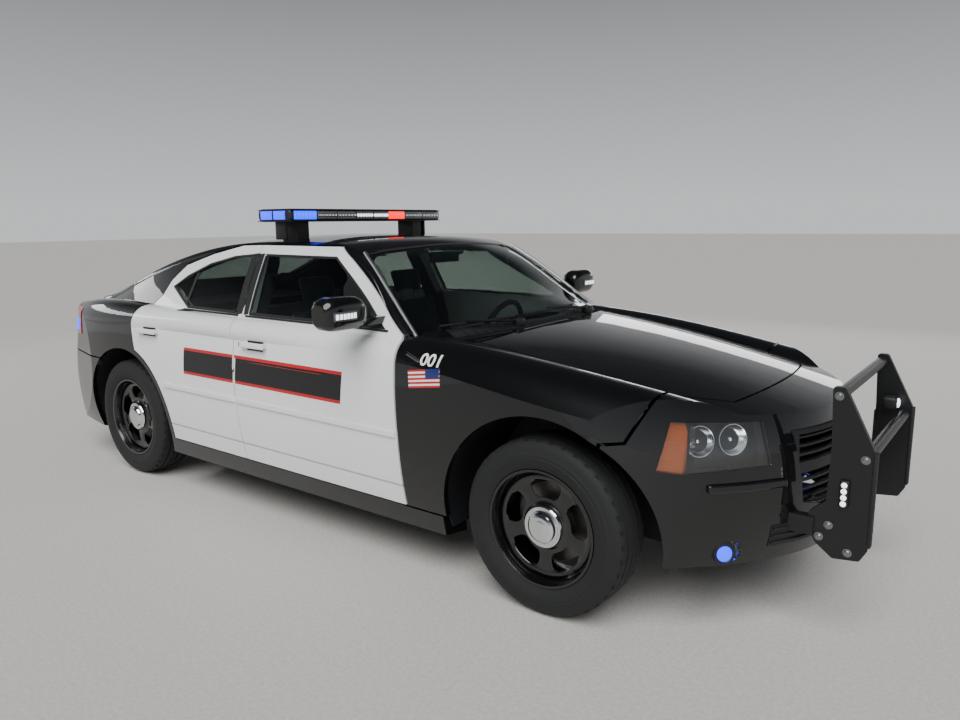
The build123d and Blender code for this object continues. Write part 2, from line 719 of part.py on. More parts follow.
TYRE_SECTION = [
    (-92, RIM_RADIUS - 11), (-92, RIM_RADIUS + 4), (-110, 262), (-112.5, 300), (-108, 335), (-90, TYRE_RADIUS - 4),
    (-60, TYRE_RADIUS), (60, TYRE_RADIUS), (90, TYRE_RADIUS - 4), (108, 335), (112.5, 300), (110, 262),
    (92, RIM_RADIUS + 4), (92, RIM_RADIUS - 11),
]
RIM_SECTION = [
    (-102, RIM_RADIUS), (-92.5, RIM_RADIUS), (-92.5, RIM_RADIUS - 12), (92.5, RIM_RADIUS - 12), (92.5, RIM_RADIUS),
    (102, RIM_RADIUS), (102, RIM_RADIUS - 10), (88, RIM_RADIUS - 16), (80, 205), (62, 186), (52, 150), (48, 96),
    (66, 84), (66, 46), (80, 40), (80, 0), (40, 0), (40, 40), (36, 150), (44, 196), (60, 216), (-102, RIM_RADIUS - 22),
]
SPINDLE_RADIUS = 30


def rim(x):
    with BuildPart() as built:
        add(turned(RIM_SECTION, x))
        with BuildSketch(Plane(origin=(x, -WHEEL_Y, TYRE_RADIUS), x_dir=(1, 0, 0), z_dir=(0, -1, 0))):
            with PolarLocations(135, 5, start_angle=90):
                SlotOverall(78, 44, rotation=90)
        extrude(amount=90, mode=Mode.SUBTRACT)
        add(turned([(-10, 75), (44, 75), (44, SPINDLE_RADIUS + 0.3), (-10, SPINDLE_RADIUS + 0.3)], x))
        add(turned([(-24, 165), (-10, 165), (-10, SPINDLE_RADIUS + 0.3), (-24, SPINDLE_RADIUS + 0.3)], x))
    return built.part


def knuckle():
    """Carrier, spindle and ball joint arms of a right front wheel."""
    carrier_out = KINGPIN_Y + 22
    with BuildPart() as built:
        add(bar((FRONT_X, -KINGPIN_Y + 25, TYRE_RADIUS), (FRONT_X, -carrier_out, TYRE_RADIUS), 62))
        add(bar((FRONT_X, -carrier_out, TYRE_RADIUS), (FRONT_X, -WHEEL_Y - 30, TYRE_RADIUS), SPINDLE_RADIUS))
        add(block(FRONT_X - 28, FRONT_X + 28, -KINGPIN_Y - 18, -KINGPIN_Y + 20, TYRE_RADIUS - 130, TYRE_RADIUS + 130))
        add(block(FRONT_X - 190, FRONT_X - 20, -KINGPIN_Y - 10, -KINGPIN_Y + 18, TYRE_RADIUS - 70, TYRE_RADIUS - 40))
    return built.part


def stub(x):
    return bar((x, -WHEEL_Y + 60, TYRE_RADIUS), (x, -WHEEL_Y - 30, TYRE_RADIUS), SPINDLE_RADIUS)


for name, x in (("front", FRONT_X), ("rear", REAR_X)):
    tyre_part = turned(TYRE_SECTION, x)
    rim_part = rim(x)
    for side, piece in (("right", lambda p: p), ("left", mirrored)):
        save("tyre_" + name + "_" + side, piece(tyre_part))
        save("rim_" + name + "_" + side, piece(rim_part))
save_pair("knuckle", knuckle())

# Front suspension: crossmember, lower arms to the ball joints, struts
lower_arm = block(FRONT_X - 30, FRONT_X + 30, -KINGPIN_Y - 18, -440, 200, 227)
ball_pin = bar((FRONT_X, -KINGPIN_Y, 220), (FRONT_X, -KINGPIN_Y, TYRE_RADIUS - 130 - SEAT_GAP), 14)
STRUT_RADIUS = 30
strut_top = ARCH_CENTRE_Z + sqrt((ARCH_FRONT + LINER_GAP) ** 2 - STRUT_RADIUS ** 2) - SEAT_GAP
strut = bar((FRONT_X, -600, 220), (FRONT_X, -600, strut_top), STRUT_RADIUS)
crossmember = block(FRONT_X - 120, FRONT_X + 120, -460, 460, 200, 330)
with BuildPart() as front_axle:
    add(crossmember)
    for piece in (lower_arm, ball_pin, strut):
        add(piece)
        add(mirrored(piece))
save("front_suspension", front_axle.part)

# Rear suspension: crossmember with differential, half shafts, arms and hub carriers
carrier = bar((REAR_X, -WHEEL_Y + 110, TYRE_RADIUS), (REAR_X, -WHEEL_Y + 40, TYRE_RADIUS), 62)
shaft = bar((REAR_X, -150, TYRE_RADIUS), (REAR_X, -WHEEL_Y + 100, TYRE_RADIUS), 22)
rear_arm = block(REAR_X - 30, REAR_X + 95, -WHEEL_Y + 60, -300, 250, 310)
rear_strut = bar((REAR_X + 60, -610, 290), (REAR_X + 60, -610, 780), 30)
with BuildPart() as rear_axle:
    add(rounded_block(REAR_X - 150, REAR_X + 150, -160, 160, 270, 390, 20))
    add(block(REAR_X - 110, REAR_X + 110, -340, 340, 240, 300))
    for piece in (carrier, shaft, rear_arm, rear_strut, stub(REAR_X)):
        add(piece)
        add(mirrored(piece))
save("rear_suspension", rear_axle.part)

# Cabin fittings
CABIN_FLOOR_Z = FLOOR_Z + 30 + SEAT_GAP
SEAT_Y = 370
with BuildPart() as dash:
    with BuildSketch(Plane.XZ.offset(-700)):
        with BuildLine():
            Polyline((620, 700), (560, 760), (540, 930), (600, 1000), (760, 1020), (932.7, 990), (932.7, 700), close=True)
        make_face()
    extrude(amount=1400)
    add(block(820, 1000, -720, 720, 950, 1100), mode=Mode.SUBTRACT)


def seat_profile(points, y0, y1):
    with BuildPart() as built:
        with BuildSketch(Plane.XZ.offset(-y1)):
            with BuildLine():
                Polyline(*points, close=True)
            make_face()
        extrude(amount=y1 - y0)
    return built.part


def front_seat(y):
    base = block(-180, 250, y - 190, y + 190, CABIN_FLOOR_Z, 400)
    cushion = seat_profile([(-230, 400.3), (300, 400.3), (330, 520), (290, 565), (-200, 520)], y - 250, y + 250)
    back = seat_profile([(-200, 520.6), (-90, 530.4), (-260, 1090), (-340, 1100), (-330, 900)], y - 240, y + 240)
    head = seat_profile([(-270, 1091.6), (-338, 1100.1), (-385, 1270), (-300, 1275)], y - 130, y + 130)
    return [base, cushion, back, head]


with BuildPart() as front_seats:
    for y in (-SEAT_Y, SEAT_Y):
        for piece in front_seat(y):
            add(piece)
save("front_seats", front_seats.part)
TUNNEL_TOP_Z = FLOOR_Z + 190
with BuildPart() as rear_cushion:
    add(seat_profile([(-1170, TUNNEL_TOP_Z + SEAT_GAP), (-620, TUNNEL_TOP_Z + SEAT_GAP), (-600, 520), (-660, 560),
                      (-1160, 500)], -REAR_HOUSE_Y + 10, REAR_HOUSE_Y - 10))
    for y in (-355, 355):
        add(block(-1170, -640, y - 190, y + 190, CABIN_FLOOR_Z, TUNNEL_TOP_Z + 10))
rear_back = seat_profile([(-1170, 505), (-1040, 516), (-1180, 1038), (-1289.7, 1038)], -530, 530)
save("rear_seat", joined(rear_cushion.part, rear_back))

# Steering column and wheel on the driver's side
COLUMN_TILT = 24
HUB = (430, SEAT_Y, 930)
column_dir = (cos(radians(COLUMN_TILT)), 0, -sin(radians(COLUMN_TILT)))


def along_column(distance):
    return tuple(HUB[i] + column_dir[i] * distance for i in range(3))


save("steering_column", bar(along_column(30), along_column(124), 38))
column_hole = bar(along_column(30), along_column(124 + SEAT_GAP), 38 + SEAT_GAP)
save("dashboard", (dash.part - column_hole) & glass_inner.moved(Location((0, 0, -8))))
with BuildPart() as steering_wheel:
    plane = Plane(origin=HUB, x_dir=(0, 1, 0), z_dir=column_dir)
    with BuildSketch(Plane(origin=HUB, x_dir=(0, 1, 0), z_dir=(sin(radians(COLUMN_TILT)), 0, cos(radians(COLUMN_TILT))))):
        with Locations((175, 0)):
            Circle(15)
    revolve(axis=Axis(HUB, column_dir))
    with BuildSketch(plane):
        Rectangle(345, 40)
        with Locations((0, -88)):
            Rectangle(40, 170)
    extrude(amount=14)
    with BuildSketch(plane):
        Circle(70)
    extrude(amount=29.7)
save("steering_wheel", steering_wheel.part)
mirror_stem = bar((315, 0, 1375), (440, 0, 1392), 8) & glass_inner.moved(Location((0, 0, -SEAT_GAP)))
save("interior_mirror", joined(rounded_block(300, 322, -120, 120, 1335, 1395, 9), mirror_stem))

# Door mirrors: a housing on a short arm. Columns: distance out, x from and to, z from and to, corner
MIRROR_SECTIONS = [
    (915, 545, 618, 1112, 1205, 25),
    (945, 522, 632, 1100, 1232, 40),
    (1040, 508, 640, 1098, 1244, 45),
    (1125, 512, 632, 1104, 1236, 45),
    (1152, 530, 612, 1122, 1214, 35),
]
with BuildPart() as door_mirror:
    for y, x0, x1, z0, z1, radius in MIRROR_SECTIONS:
        with BuildSketch(Plane.XZ.offset(y)):
            with Locations(((x0 + x1) / 2, (z0 + z1) / 2)):
                RectangleRounded(x1 - x0, z1 - z0, radius)
    loft()
    add(block(545, 615, -960, -760, 1104, 1136))
save_pair("door_mirror", door_mirror.part - outer.moved(Location((0, -SEAT_GAP, 0))))

# Light bar on its feet across the roof
with BuildPart() as light_bar:
    add(rounded_block(-515, -235, -620, 620, 1566, 1636, 24))
    for y in (-470, 470):
        add(block(-440, -310, y - 40, y + 40, 1440, 1570))
roof_top = outer.moved(Location((0, 0, SEAT_GAP)))
save("light_bar", light_bar.part - roof_top)

# Push bumper: two upright plates joined by tubes
with BuildPart() as plate:
    with BuildSketch(Plane.XZ.offset(398)):
        with BuildLine():
            Polyline((2452, 968), (2494, 968), (2602, 752), (2610, 700), (2604, 380), (2580, 336), (2490, 326),
                     (2430, 372), (2400, 420), (2400, 490), (2456, 540), (2462, 740), close=True)
        make_face()
        fillet(vertices(), 12)
    extrude(amount=24)
with BuildPart() as push_bumper:
    add(plate.part)
    add(mirrored(plate.part))
    add(bar((2472, -400, 935), (2472, 400, 935), 22))
    add(bar((2576, -400, 716), (2576, 400, 716), 22))
    for y in (-410, 410):
        add(block(2290, 2420, y - 20, y + 20, 400, 470))
save("push_bumper", push_bumper.part - outer.moved(Location((SEAT_GAP, 0, 0))))
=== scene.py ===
from math import atan2, pi, radians, sin

import bpy
from mathutils import Matrix, Vector


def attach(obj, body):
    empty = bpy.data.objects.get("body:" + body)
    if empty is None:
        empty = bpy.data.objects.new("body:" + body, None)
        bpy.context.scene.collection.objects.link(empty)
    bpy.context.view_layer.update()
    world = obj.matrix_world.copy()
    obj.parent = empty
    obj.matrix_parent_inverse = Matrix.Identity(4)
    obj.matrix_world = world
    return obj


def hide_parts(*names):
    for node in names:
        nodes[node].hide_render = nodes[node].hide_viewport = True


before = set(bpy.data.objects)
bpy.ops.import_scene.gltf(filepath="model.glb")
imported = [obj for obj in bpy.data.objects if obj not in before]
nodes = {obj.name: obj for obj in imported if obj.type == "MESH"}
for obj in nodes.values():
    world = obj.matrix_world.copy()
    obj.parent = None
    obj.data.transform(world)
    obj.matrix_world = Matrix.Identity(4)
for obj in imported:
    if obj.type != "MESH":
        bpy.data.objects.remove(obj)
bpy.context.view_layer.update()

# Camera: a compact camera held at eye height off the car's right front corner,
# 28 mm lens on a 36 mm wide frame, rolled by about half a degree.
camera_data = bpy.data.cameras.new("photo_camera")
camera_data.sensor_fit = "HORIZONTAL"
camera_data.sensor_width = 36
camera_data.lens = 28.416
camera_data.clip_end = 200
camera = bpy.data.objects.new("photo_camera", camera_data)
bpy.context.scene.collection.objects.link(camera)
camera_back = Vector((0.5959, -0.7828, 0.1795)).normalized()
camera_level = Vector((0.7957, 0.6057, 0.0)).normalized()
camera_up = camera_back.cross(camera_level)
camera_axes = Matrix((camera_level, camera_up, camera_back)).transposed().to_4x4()
camera_place = Matrix.Translation((3.047, -3.275, 1.556))
camera.matrix_world = camera_place @ camera_axes @ Matrix.Rotation(radians(-0.589), 4, "Z")
bpy.context.scene.camera = camera


# Floor: a pale studio floor of smooth sealed concrete, large enough to meet the
# horizon, with the faint mottling and the dull sheen that a sealer leaves.
def linear(colour):
    """An sRGB hex colour as the linear values that a shader takes."""
    parts = [int(colour[i:i + 2], 16) / 255 for i in (1, 3, 5)]
    return tuple(c / 12.92 if c <= 0.04045 else ((c + 0.055) / 1.055) ** 2.4 for c in parts) + (1.0,)


def node(material, kind, inputs, **settings):
    """Adds a node with its settings, and with a value or a link for each input."""
    made = material.node_tree.nodes.new(kind)
    for key, value in settings.items():
        setattr(made, key, value)
    for key, value in inputs.items():
        if isinstance(value, bpy.types.NodeSocket):
            material.node_tree.links.new(value, made.inputs[key])
        else:
            made.inputs[key].default_value = value
    return made


def finish_of(name, constants):
    """A new material with its constants set, its Principled shader and its Object coordinates."""
    material = bpy.data.materials.new(name)
    material.use_nodes = True
    shader = material.node_tree.nodes["Principled BSDF"]
    for socket, value in constants.items():
        shader.inputs[socket].default_value = linear(value) if isinstance(value, str) else value
    place = node(material, "ShaderNodeTexCoord", {})
    return material, shader, place.outputs["Object"]


def shaded(material, fraction, *stops):
    """The colour socket of a ramp that runs between two (position, colour) stops."""
    ramp = node(material, "ShaderNodeValToRGB", {"Fac": fraction})
    for element, (position, colour) in zip(ramp.color_ramp.elements, stops):
        element.position = position
        element.color = linear(colour)
    return ramp.outputs["Color"]


def grained_finish(name, constants, scale, depth, strength=1.0, shades=()):
    """A material with noise relief, scale in repeats a metre and depth in metres, and drifting shades."""
    material, shader, place = finish_of(name, constants)
    grain = node(material, "ShaderNodeTexNoise", {"Vector": place, "Scale": scale, "Detail": 3.0})
    relief = node(material, "ShaderNodeBump", {
        "Height": grain.outputs["Fac"], "Distance": depth, "Strength": strength})
    material.node_tree.links.new(relief.outputs["Normal"], shader.inputs["Normal"])
    if shades:
        drift = shaded(material, grain.outputs["Fac"], (0.35, shades[0]), (0.65, shades[1]))
        material.node_tree.links.new(drift, shader.inputs["Base Color"])
    return material


sealed_concrete = grained_finish("sealed_concrete", {
    "Roughness": 0.55}, 60, 0.0006, 0.4, shades=("#BDBBB6", "#C9C7C2"))
bpy.ops.object.select_all(action="DESELECT")
bpy.ops.mesh.primitive_grid_add(x_subdivisions=4, y_subdivisions=4, size=160, location=(0, 0, -0.001))
floor = bpy.context.object
floor.name = "studio_floor"
floor.data.materials.append(sealed_concrete)

# Light: one very soft key from behind the camera and a long strip beyond the car for
# the paint's highlights, in a surround that is pale at the horizon and dark overhead.
world = bpy.data.worlds.new("studio_surround")
bpy.context.scene.world = world
world.use_nodes = True
background = world.node_tree.nodes["Background"]
background.inputs["Strength"].default_value = 0.9
direction = node(world, "ShaderNodeTexCoord", {})
height = node(world, "ShaderNodeSeparateXYZ", {"Vector": direction.outputs["Generated"]})
fade = shaded(world, height.outputs["Z"], (0.02, "#E2E4E6"), (0.42, "#3A3D42"))
world.node_tree.links.new(fade, background.inputs["Color"])
key_data = bpy.data.lights.new("soft_key", "SUN")
key_data.energy = 4.0
key_data.angle = radians(50)
key = bpy.data.objects.new("soft_key", key_data)
bpy.context.scene.collection.objects.link(key)
key.rotation_mode = "QUATERNION"
key.rotation_quaternion = Vector((-0.35, 0.62, -0.9)).to_track_quat("-Z", "Y")
for name, place_of, target, across, tall, power in (
        ("far_strip", (0.5, 8.5, 2.3), (0.5, 0, 0.8), 7.0, 0.8, 55),
        ("tail_strip", (-7.5, -2.0, 3.0), (-1.5, 0, 0.8), 4.0, 0.7, 40)):
    light_data = bpy.data.lights.new(name, "AREA")
    light_data.shape = "RECTANGLE"
    light_data.size, light_data.size_y, light_data.energy = across, tall, power
    light = bpy.data.objects.new(name, light_data)
    bpy.context.scene.collection.objects.link(light)
    light.location = place_of
    light.rotation_mode = "QUATERNION"
    light.rotation_quaternion = (Vector(target) - Vector(place_of)).to_track_quat("-Z", "Y")


# Black painted body: pressed steel panels in a two-stage black car enamel, sprayed
# and baked, with plastic bumper covers and mirror housings painted to match.
def wear(finish, *names):
    """Gives a finish to CAD nodes."""
    for name in names:
        for holder in nodes[name].material_slots:
            holder.material = finish


# Car enamel, IOR 1.5: near black base under a clear coat, very faint orange peel of
# about 6 mm, drawn in the coat's own relief
black_enamel = grained_finish("black_enamel", {
    "Base Color": "#08090B", "Roughness": 0.4, "IOR": 1.5, "Specular IOR Level": 0.12, "Coat Weight": 1.0,
    "Coat Roughness": 0.02, "Coat IOR": 1.52}, 160, 0.00002, 0.25)
shader = black_enamel.node_tree.nodes["Principled BSDF"]
black_enamel.node_tree.links.new(shader.inputs["Normal"].links[0].from_socket, shader.inputs["Coat Normal"])
wear(black_enamel, "body_side_right", "body_side_left", "roof_panel", "front_fenders", "front_bumper_cover",
     "rear_bumper_cover", "hood", "trunk_lid", "door_mirror_right", "door_mirror_left")

# Doors: steel doors with full window frames in solid white enamel, with body-colour
# side mouldings stuck on, pull handles, and black rubber seals along the belt.
# How a flat piece faces each side, and the axis and sense in which it is pressed on
FACING = {
    "right": (Matrix.Rotation(pi / 2, 4, "X"), "Y", 1),
    "left": (Matrix.Rotation(pi, 4, "Z") @ Matrix.Rotation(pi / 2, 4, "X"), "Y", -1),
    "front": (Matrix.Rotation(pi / 2, 4, "Z") @ Matrix.Rotation(pi / 2, 4, "X"), "X", -1),
    "rear": (Matrix.Rotation(-pi / 2, 4, "Z") @ Matrix.Rotation(pi / 2, 4, "X"), "X", 1),
    "top": (Matrix.Identity(4), "Z", -1),
}
SIDES = (("right", -1), ("left", 1))


def applied(piece, kind, **settings):
    """Adds a modifier and applies it."""
    bpy.context.view_layer.objects.active = piece
    modifier = piece.modifiers.new(kind.lower(), kind)
    for key, value in settings.items():
        setattr(modifier, key, value)
    bpy.ops.object.modifier_apply(modifier=modifier.name)


def eased(piece, width, segments=2):
    """Rounds a piece's sharp edges over."""
    applied(piece, "BEVEL", width=width, segments=segments, limit_method="ANGLE")
    return piece


def chosen(piece, kind, picks):
    """Selects the picked vertices or faces of the active piece, and stays in edit mode."""
    bpy.ops.object.mode_set(mode="EDIT")
    bpy.ops.mesh.select_mode(type=kind)
    bpy.ops.mesh.select_all(action="DESELECT")
    bpy.ops.object.mode_set(mode="OBJECT")
    for part, picked in zip(piece.data.vertices if kind == "VERT" else piece.data.polygons, picks):
        part.select = picked
    bpy.ops.object.mode_set(mode="EDIT")


def settled(piece, name, finish, body="root", angle=35):
    """Names a finished piece, puts its place into its mesh, and gives it its finish and body."""
    bpy.ops.object.select_all(action="DESELECT")
    piece.select_set(True)
    bpy.context.view_layer.objects.active = piece
    bpy.ops.object.transform_apply()
    bpy.ops.object.shade_smooth_by_angle(angle=radians(angle))
    piece.name = name
    piece.data.name = name
    piece.data.materials.clear()
    piece.data.materials.append(finish)
    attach(piece, body)
    return piece


def pressed_on(piece, carrier, side, lift, thickness):
    """Presses a flat piece onto the panel that carries it and gives it its thickness."""
    _, axis, sense = FACING[side]
    starts = [vertex.co.copy() for vertex in piece.data.vertices]
    applied(piece, "SHRINKWRAP", target=nodes[carrier], wrap_method="PROJECT", offset=lift,
            **{"use_project_" + axis.lower(): True, "use_positive_direction": sense > 0,
               "use_negative_direction": sense < 0})
    shortest_move = 0.01
    missed = [(vertex.co - start).length < shortest_move
              for vertex, start in zip(piece.data.vertices, starts)]
    if any(missed):
        chosen(piece, "VERT", missed)
        bpy.ops.mesh.delete(type="VERT")
        bpy.ops.object.mode_set(mode="OBJECT")
    applied(piece, "SOLIDIFY", thickness=thickness, offset=1)


def strip_on(carrier, side, centre, width, height, lift, thickness, cuts, tilt=0.0):
    """A strip pressed onto a panel; width runs forward on the flanks and across at the ends."""
    bpy.ops.object.select_all(action="DESELECT")
    bpy.ops.mesh.primitive_grid_add(x_subdivisions=cuts[0], y_subdivisions=cuts[1], size=1)
    piece = bpy.context.object
    turn = FACING[side][0]
    clear_of_car = 2.9 if side in ("front", "rear") else 1.7
    away = turn @ Vector((0, 0, clear_of_car))
    spot = Vector(centre)
    for i in range(3):
        if abs(away[i]) > 0.1:
            spot[i] = away[i]
    piece.matrix_world = (Matrix.Translation(spot) @ turn @ Matrix.Rotation(tilt, 4, "Z")
                          @ Matrix.Diagonal((width, height, 1, 1)))
    bpy.ops.object.transform_apply()
    pressed_on(piece, carrier, side, lift, thickness)
    return piece


def rounded_box(low, high, radius):
    """A box primitive at its place with its edges rounded over."""
    bpy.ops.object.select_all(action="DESELECT")
    middle = [(a + b) / 2 for a, b in zip(low, high)]
    bpy.ops.mesh.primitive_cube_add(size=1, location=middle, scale=[abs(b - a) for a, b in zip(low, high)])
    piece = bpy.context.object
    bpy.ops.object.transform_apply()
    return eased(piece, radius, 3)


# Solid white enamel, IOR 1.5: bright and even, the coat softer than on black, with
# the pressed crease along the door's foot as a 14 mm step in the relief
white_enamel, shader, place = finish_of("white_enamel", {
    "Base Color": "#ECEDEE", "Roughness": 0.35, "IOR": 1.5, "Coat Weight": 0.8, "Coat Roughness": 0.04})
height_of = node(white_enamel, "ShaderNodeSeparateXYZ", {"Vector": place})
crease = node(white_enamel, "ShaderNodeMapRange", {
    "Value": height_of.outputs["Z"], "From Min": 0.396, "From Max": 0.41, "To Min": 0.0,
    "To Max": 1.0}, interpolation_type="SMOOTHSTEP")
relief = node(white_enamel, "ShaderNodeBump", {"Height": crease.outputs["Result"], "Distance": 0.006})
white_enamel.node_tree.links.new(relief.outputs["Normal"], shader.inputs["Normal"])
wear(white_enamel, "front_door_right", "front_door_left", "rear_door_right", "rear_door_left")

# EPDM weatherstrip, IOR 1.52: matt black extruded rubber with a fine 0.5 mm skin
# texture, drawn at 1 mm so that it shows. It also colours the dark sheets of painted
# shadow behind the door handles
rubber_and_painted_shadow = grained_finish("rubber_and_painted_shadow", {
    "Base Color": "#101112", "Roughness": 0.62, "IOR": 1.52}, 1000, 0.0001)

# Vinyl film, IOR 1.53: smooth coloured film 0.2 mm thick, with a ripple of 5 mm
vinyl = {}
for colour_name, colour in (
        ("red", "#C01822"), ("black", "#101012"), ("white", "#F2F2F0"), ("blue", "#1C2C66")):
    vinyl[colour_name] = grained_finish(f"vinyl_film_{colour_name}", {
        "Base Color": colour, "Roughness": 0.32, "IOR": 1.53}, 220, 0.00004)

for side, _ in SIDES:
    for end, x_low, x_high, grip_x in (("front", -0.436, 0.796, -0.215), ("rear", -1.06, -0.352, -1.205)):
        door = f"{end}_door_{side}"
        middle = (x_low + x_high) / 2
        moulding = strip_on(door, side, (middle, 0, 0.637), x_high - x_low, 0.03, 0.0005, 0.009, cuts=(60, 4))
        eased(moulding, 0.004)
        settled(moulding, f"side_moulding_{end}_{side}", white_enamel, door)
        grip = strip_on(door, side, (grip_x, 0, 0.94), 0.19, 0.03, 0.022, 0.012, cuts=(12, 2))
        eased(grip, 0.005, 3)
        settled(grip, f"handle_grip_{end}_{side}", white_enamel, door)
        for foot, foot_x in (("a", grip_x - 0.082), ("b", grip_x + 0.082)):
            post = strip_on(door, side, (foot_x, 0, 0.94), 0.024, 0.024, -0.001, 0.026, cuts=(3, 3))
            eased(post, 0.004)
            settled(post, f"handle_post_{foot}_{end}_{side}", white_enamel, door)
        # Painted shadow: a thin dark sheet laid flat on the door, round and below each grip, stands for the
        # shade in the handle's cup; the door has no recess here
        painted_handle_shadow = strip_on(door, side, (grip_x, 0, 0.936), 0.128, 0.05, 0.0004, 0.0008, cuts=(12, 4))
        eased(painted_handle_shadow, 0.0003, 1)
        settled(painted_handle_shadow, f"handle_shadow_plate_{end}_{side}", rubber_and_painted_shadow, door)
        stripe_low, stripe_high = (-0.43, 0.44) if end == "front" else (-0.85, -0.36)
        for layer, tall, lift, film in (("edge", 0.15, 0.0004, "red"), ("band", 0.118, 0.0014, "black")):
            band = strip_on(door, side, ((stripe_low + stripe_high) / 2, 0, 0.8), stripe_high - stripe_low,
                            tall, lift, 0.0004, cuts=(60, 30))
            settled(band, f"door_stripe_{layer}_{end}_{side}", vinyl[film], door)
    lock = strip_on(f"front_door_{side}", side, (-0.345, 0, 0.935), 0.022, 0.022, -0.001, 0.004, cuts=(6, 6))
    eased(lock, 0.002)
    settled(lock, f"door_lock_{side}", rubber_and_painted_shadow, f"front_door_{side}")

# Window glass: tempered side glass and laminated windscreen, tinted slightly green
# grey, held in black rubber channels. Each pane sits 6 mm behind the metal.
# Soda-lime glass, IOR 1.52: clean and sharp in its reflections, green grey in depth
tinted_glass = grained_finish("tinted_soda_lime_glass", {
    "Base Color": "#B9C6C0", "Roughness": 0.0, "IOR": 1.52, "Transmission Weight": 1.0}, 9, 0.00006, 0.2)
wear(tinted_glass, "windscreen", "rear_window", "front_window_right", "front_window_left",
     "rear_door_window_right", "rear_door_window_left")


def rod(points, radius):
    """A round bar bent through the given points, as a mesh."""
    bpy.ops.object.select_all(action="DESELECT")
    bpy.ops.curve.primitive_nurbs_path_add(radius=1)
    path = bpy.context.object
    spline = path.data.splines[0]
    spline.points.add(max(0, len(points) - len(spline.points)))
    for i, point in enumerate(spline.points):
        point.co = (*points[min(i, len(points) - 1)], 1.0)
    spline.order_u = 3
    spline.use_endpoint_u = True
    path.data.resolution_u = 6
    path.data.bevel_depth = radius
    path.data.bevel_resolution = 3
    path.data.use_fill_caps = True
    bpy.ops.object.convert(target="MESH")
    return bpy.context.object


# Brushed anodised aluminium, default IOR for a metal: pale grey satin, for the bare plate and for the painted
# reflection along each A-pillar
satin_aluminium_and_painted_reflection = grained_finish("anodised_aluminium_and_painted_reflection", {
    "Base Color": "#B4B6B8", "Metallic": 1.0, "Roughness": 0.32}, 1400, 0.00003)
# Moulded polypropylene, IOR 1.49: matt dark grey with a 1.4 mm moulded grain
black_polypropylene = grained_finish("moulded_polypropylene", {
    "Base Color": "#16171A", "Roughness": 0.55, "IOR": 1.49}, 700, 0.00025)
for side, sign in SIDES:
    door = f"front_door_{side}"
    settled(strip_on(door, side, (0.14, 0, 1.073), 1.05, 0.009, 0.0005, 0.004, cuts=(60, 2)),
            f"belt_seal_front_{side}", rubber_and_painted_shadow, door)
    settled(strip_on(f"rear_door_{side}", side, (-0.72, 0, 1.073), 0.54, 0.009, 0.0005, 0.004, cuts=(40, 2)),
            f"belt_seal_rear_{side}", rubber_and_painted_shadow, f"rear_door_{side}")
    for pane, outline in (
            ("front_window_", [(0.648, 1.078), (0.172, 1.392), (-0.404, 1.396), (-0.366, 1.078)]),
            ("rear_door_window_", [(-0.466, 1.078), (-0.506, 1.394), (-0.68, 1.38), (-0.9, 1.334),
                                   (-1.08, 1.262), (-1.196, 1.19), (-0.96, 1.08)])):
        middle = Vector((sum(x for x, _ in outline), sum(z for _, z in outline))) / len(outline)
        carrier = "front_door_" if pane == "front_window_" else "rear_door_"
        for i, (start, end) in enumerate(zip(outline, outline[1:] + outline[:1])):
            run = Vector(end) - Vector(start)
            inward = Vector((-run.y, run.x)).normalized()
            half_way = (Vector(start) + Vector(end)) / 2
            if inward.dot(middle - half_way) < 0:
                inward = -inward
            spot = half_way + inward * 0.0075
            seal = strip_on(pane + side, side, (spot.x, 0, spot.y), run.length, 0.013, 0.0006, 0.005,
                            tilt=-sign * atan2(run.y, run.x), cuts=(24, 2))
            settled(seal, "%sseal_%d_%s" % (pane, i, side), rubber_and_painted_shadow, carrier + side)
    for carrier, x, wide in (("front_door_", -0.4085, 0.047), ("rear_door_", -0.463, 0.046)):
        post = strip_on(carrier + side, side, (x, 0, 1.238), wide, 0.318, 0.0005, 0.0015,
                        tilt=-sign * radians(6.8), cuts=(16, 60))
        settled(post, f"pillar_film_{carrier}{side}", rubber_and_painted_shadow, carrier + side)
    settled(strip_on(f"front_window_{side}", side, (0.585, 0, 1.13), 0.13, 0.104, 0.0008, 0.004,
                     cuts=(40, 30)), f"mirror_sail_{side}", black_polypropylene, door)
    bar = strip_on(f"rear_door_window_{side}", side, (-0.985, 0, 1.18), 0.024, 0.19, 0.0008, 0.004,
                   cuts=(2, 14))
    settled(bar, f"window_divider_{side}", rubber_and_painted_shadow, f"rear_door_{side}")
    # Painted reflection: a pale metal rod laid along each black A-pillar stands for the bright reflection of
    # the sky on the pillar's paint
    pillar_reflection_rod = rod([(0.812, sign * 0.8, 1.056), (0.7, sign * 0.762, 1.142), (0.58, sign * 0.722, 1.238),
                (0.46, sign * 0.676, 1.328), (0.33, sign * 0.628, 1.412)], 0.009)
    applied(pillar_reflection_rod, "SHRINKWRAP", target=nodes[f"body_side_{side}"], wrap_method="NEAREST_SURFACEPOINT",
            wrap_mode="OUTSIDE", offset=0.002)
    settled(pillar_reflection_rod, f"pillar_painted_reflection_{side}", satin_aluminium_and_painted_reflection)

# Cowl and wipers: a moulded black grille at the foot of the windscreen with two
# pressed steel wiper arms, painted matt black, carrying rubber blades.
wear(black_polypropylene, "cowl_panel", "front_wheel_houses", "rear_wheel_houses", "light_bar", "fuel_tank")
for i in range(24):
    slat = strip_on("cowl_panel", "top", (1.007 - 0.127 * ((i - 11.5) / 12.9) ** 2, -0.575 + i * 0.05, 0),
                    0.04, 0.012, 0.0005, 0.004, cuts=(6, 1))
    settled(slat, "cowl_slat_%d" % i, black_polypropylene)
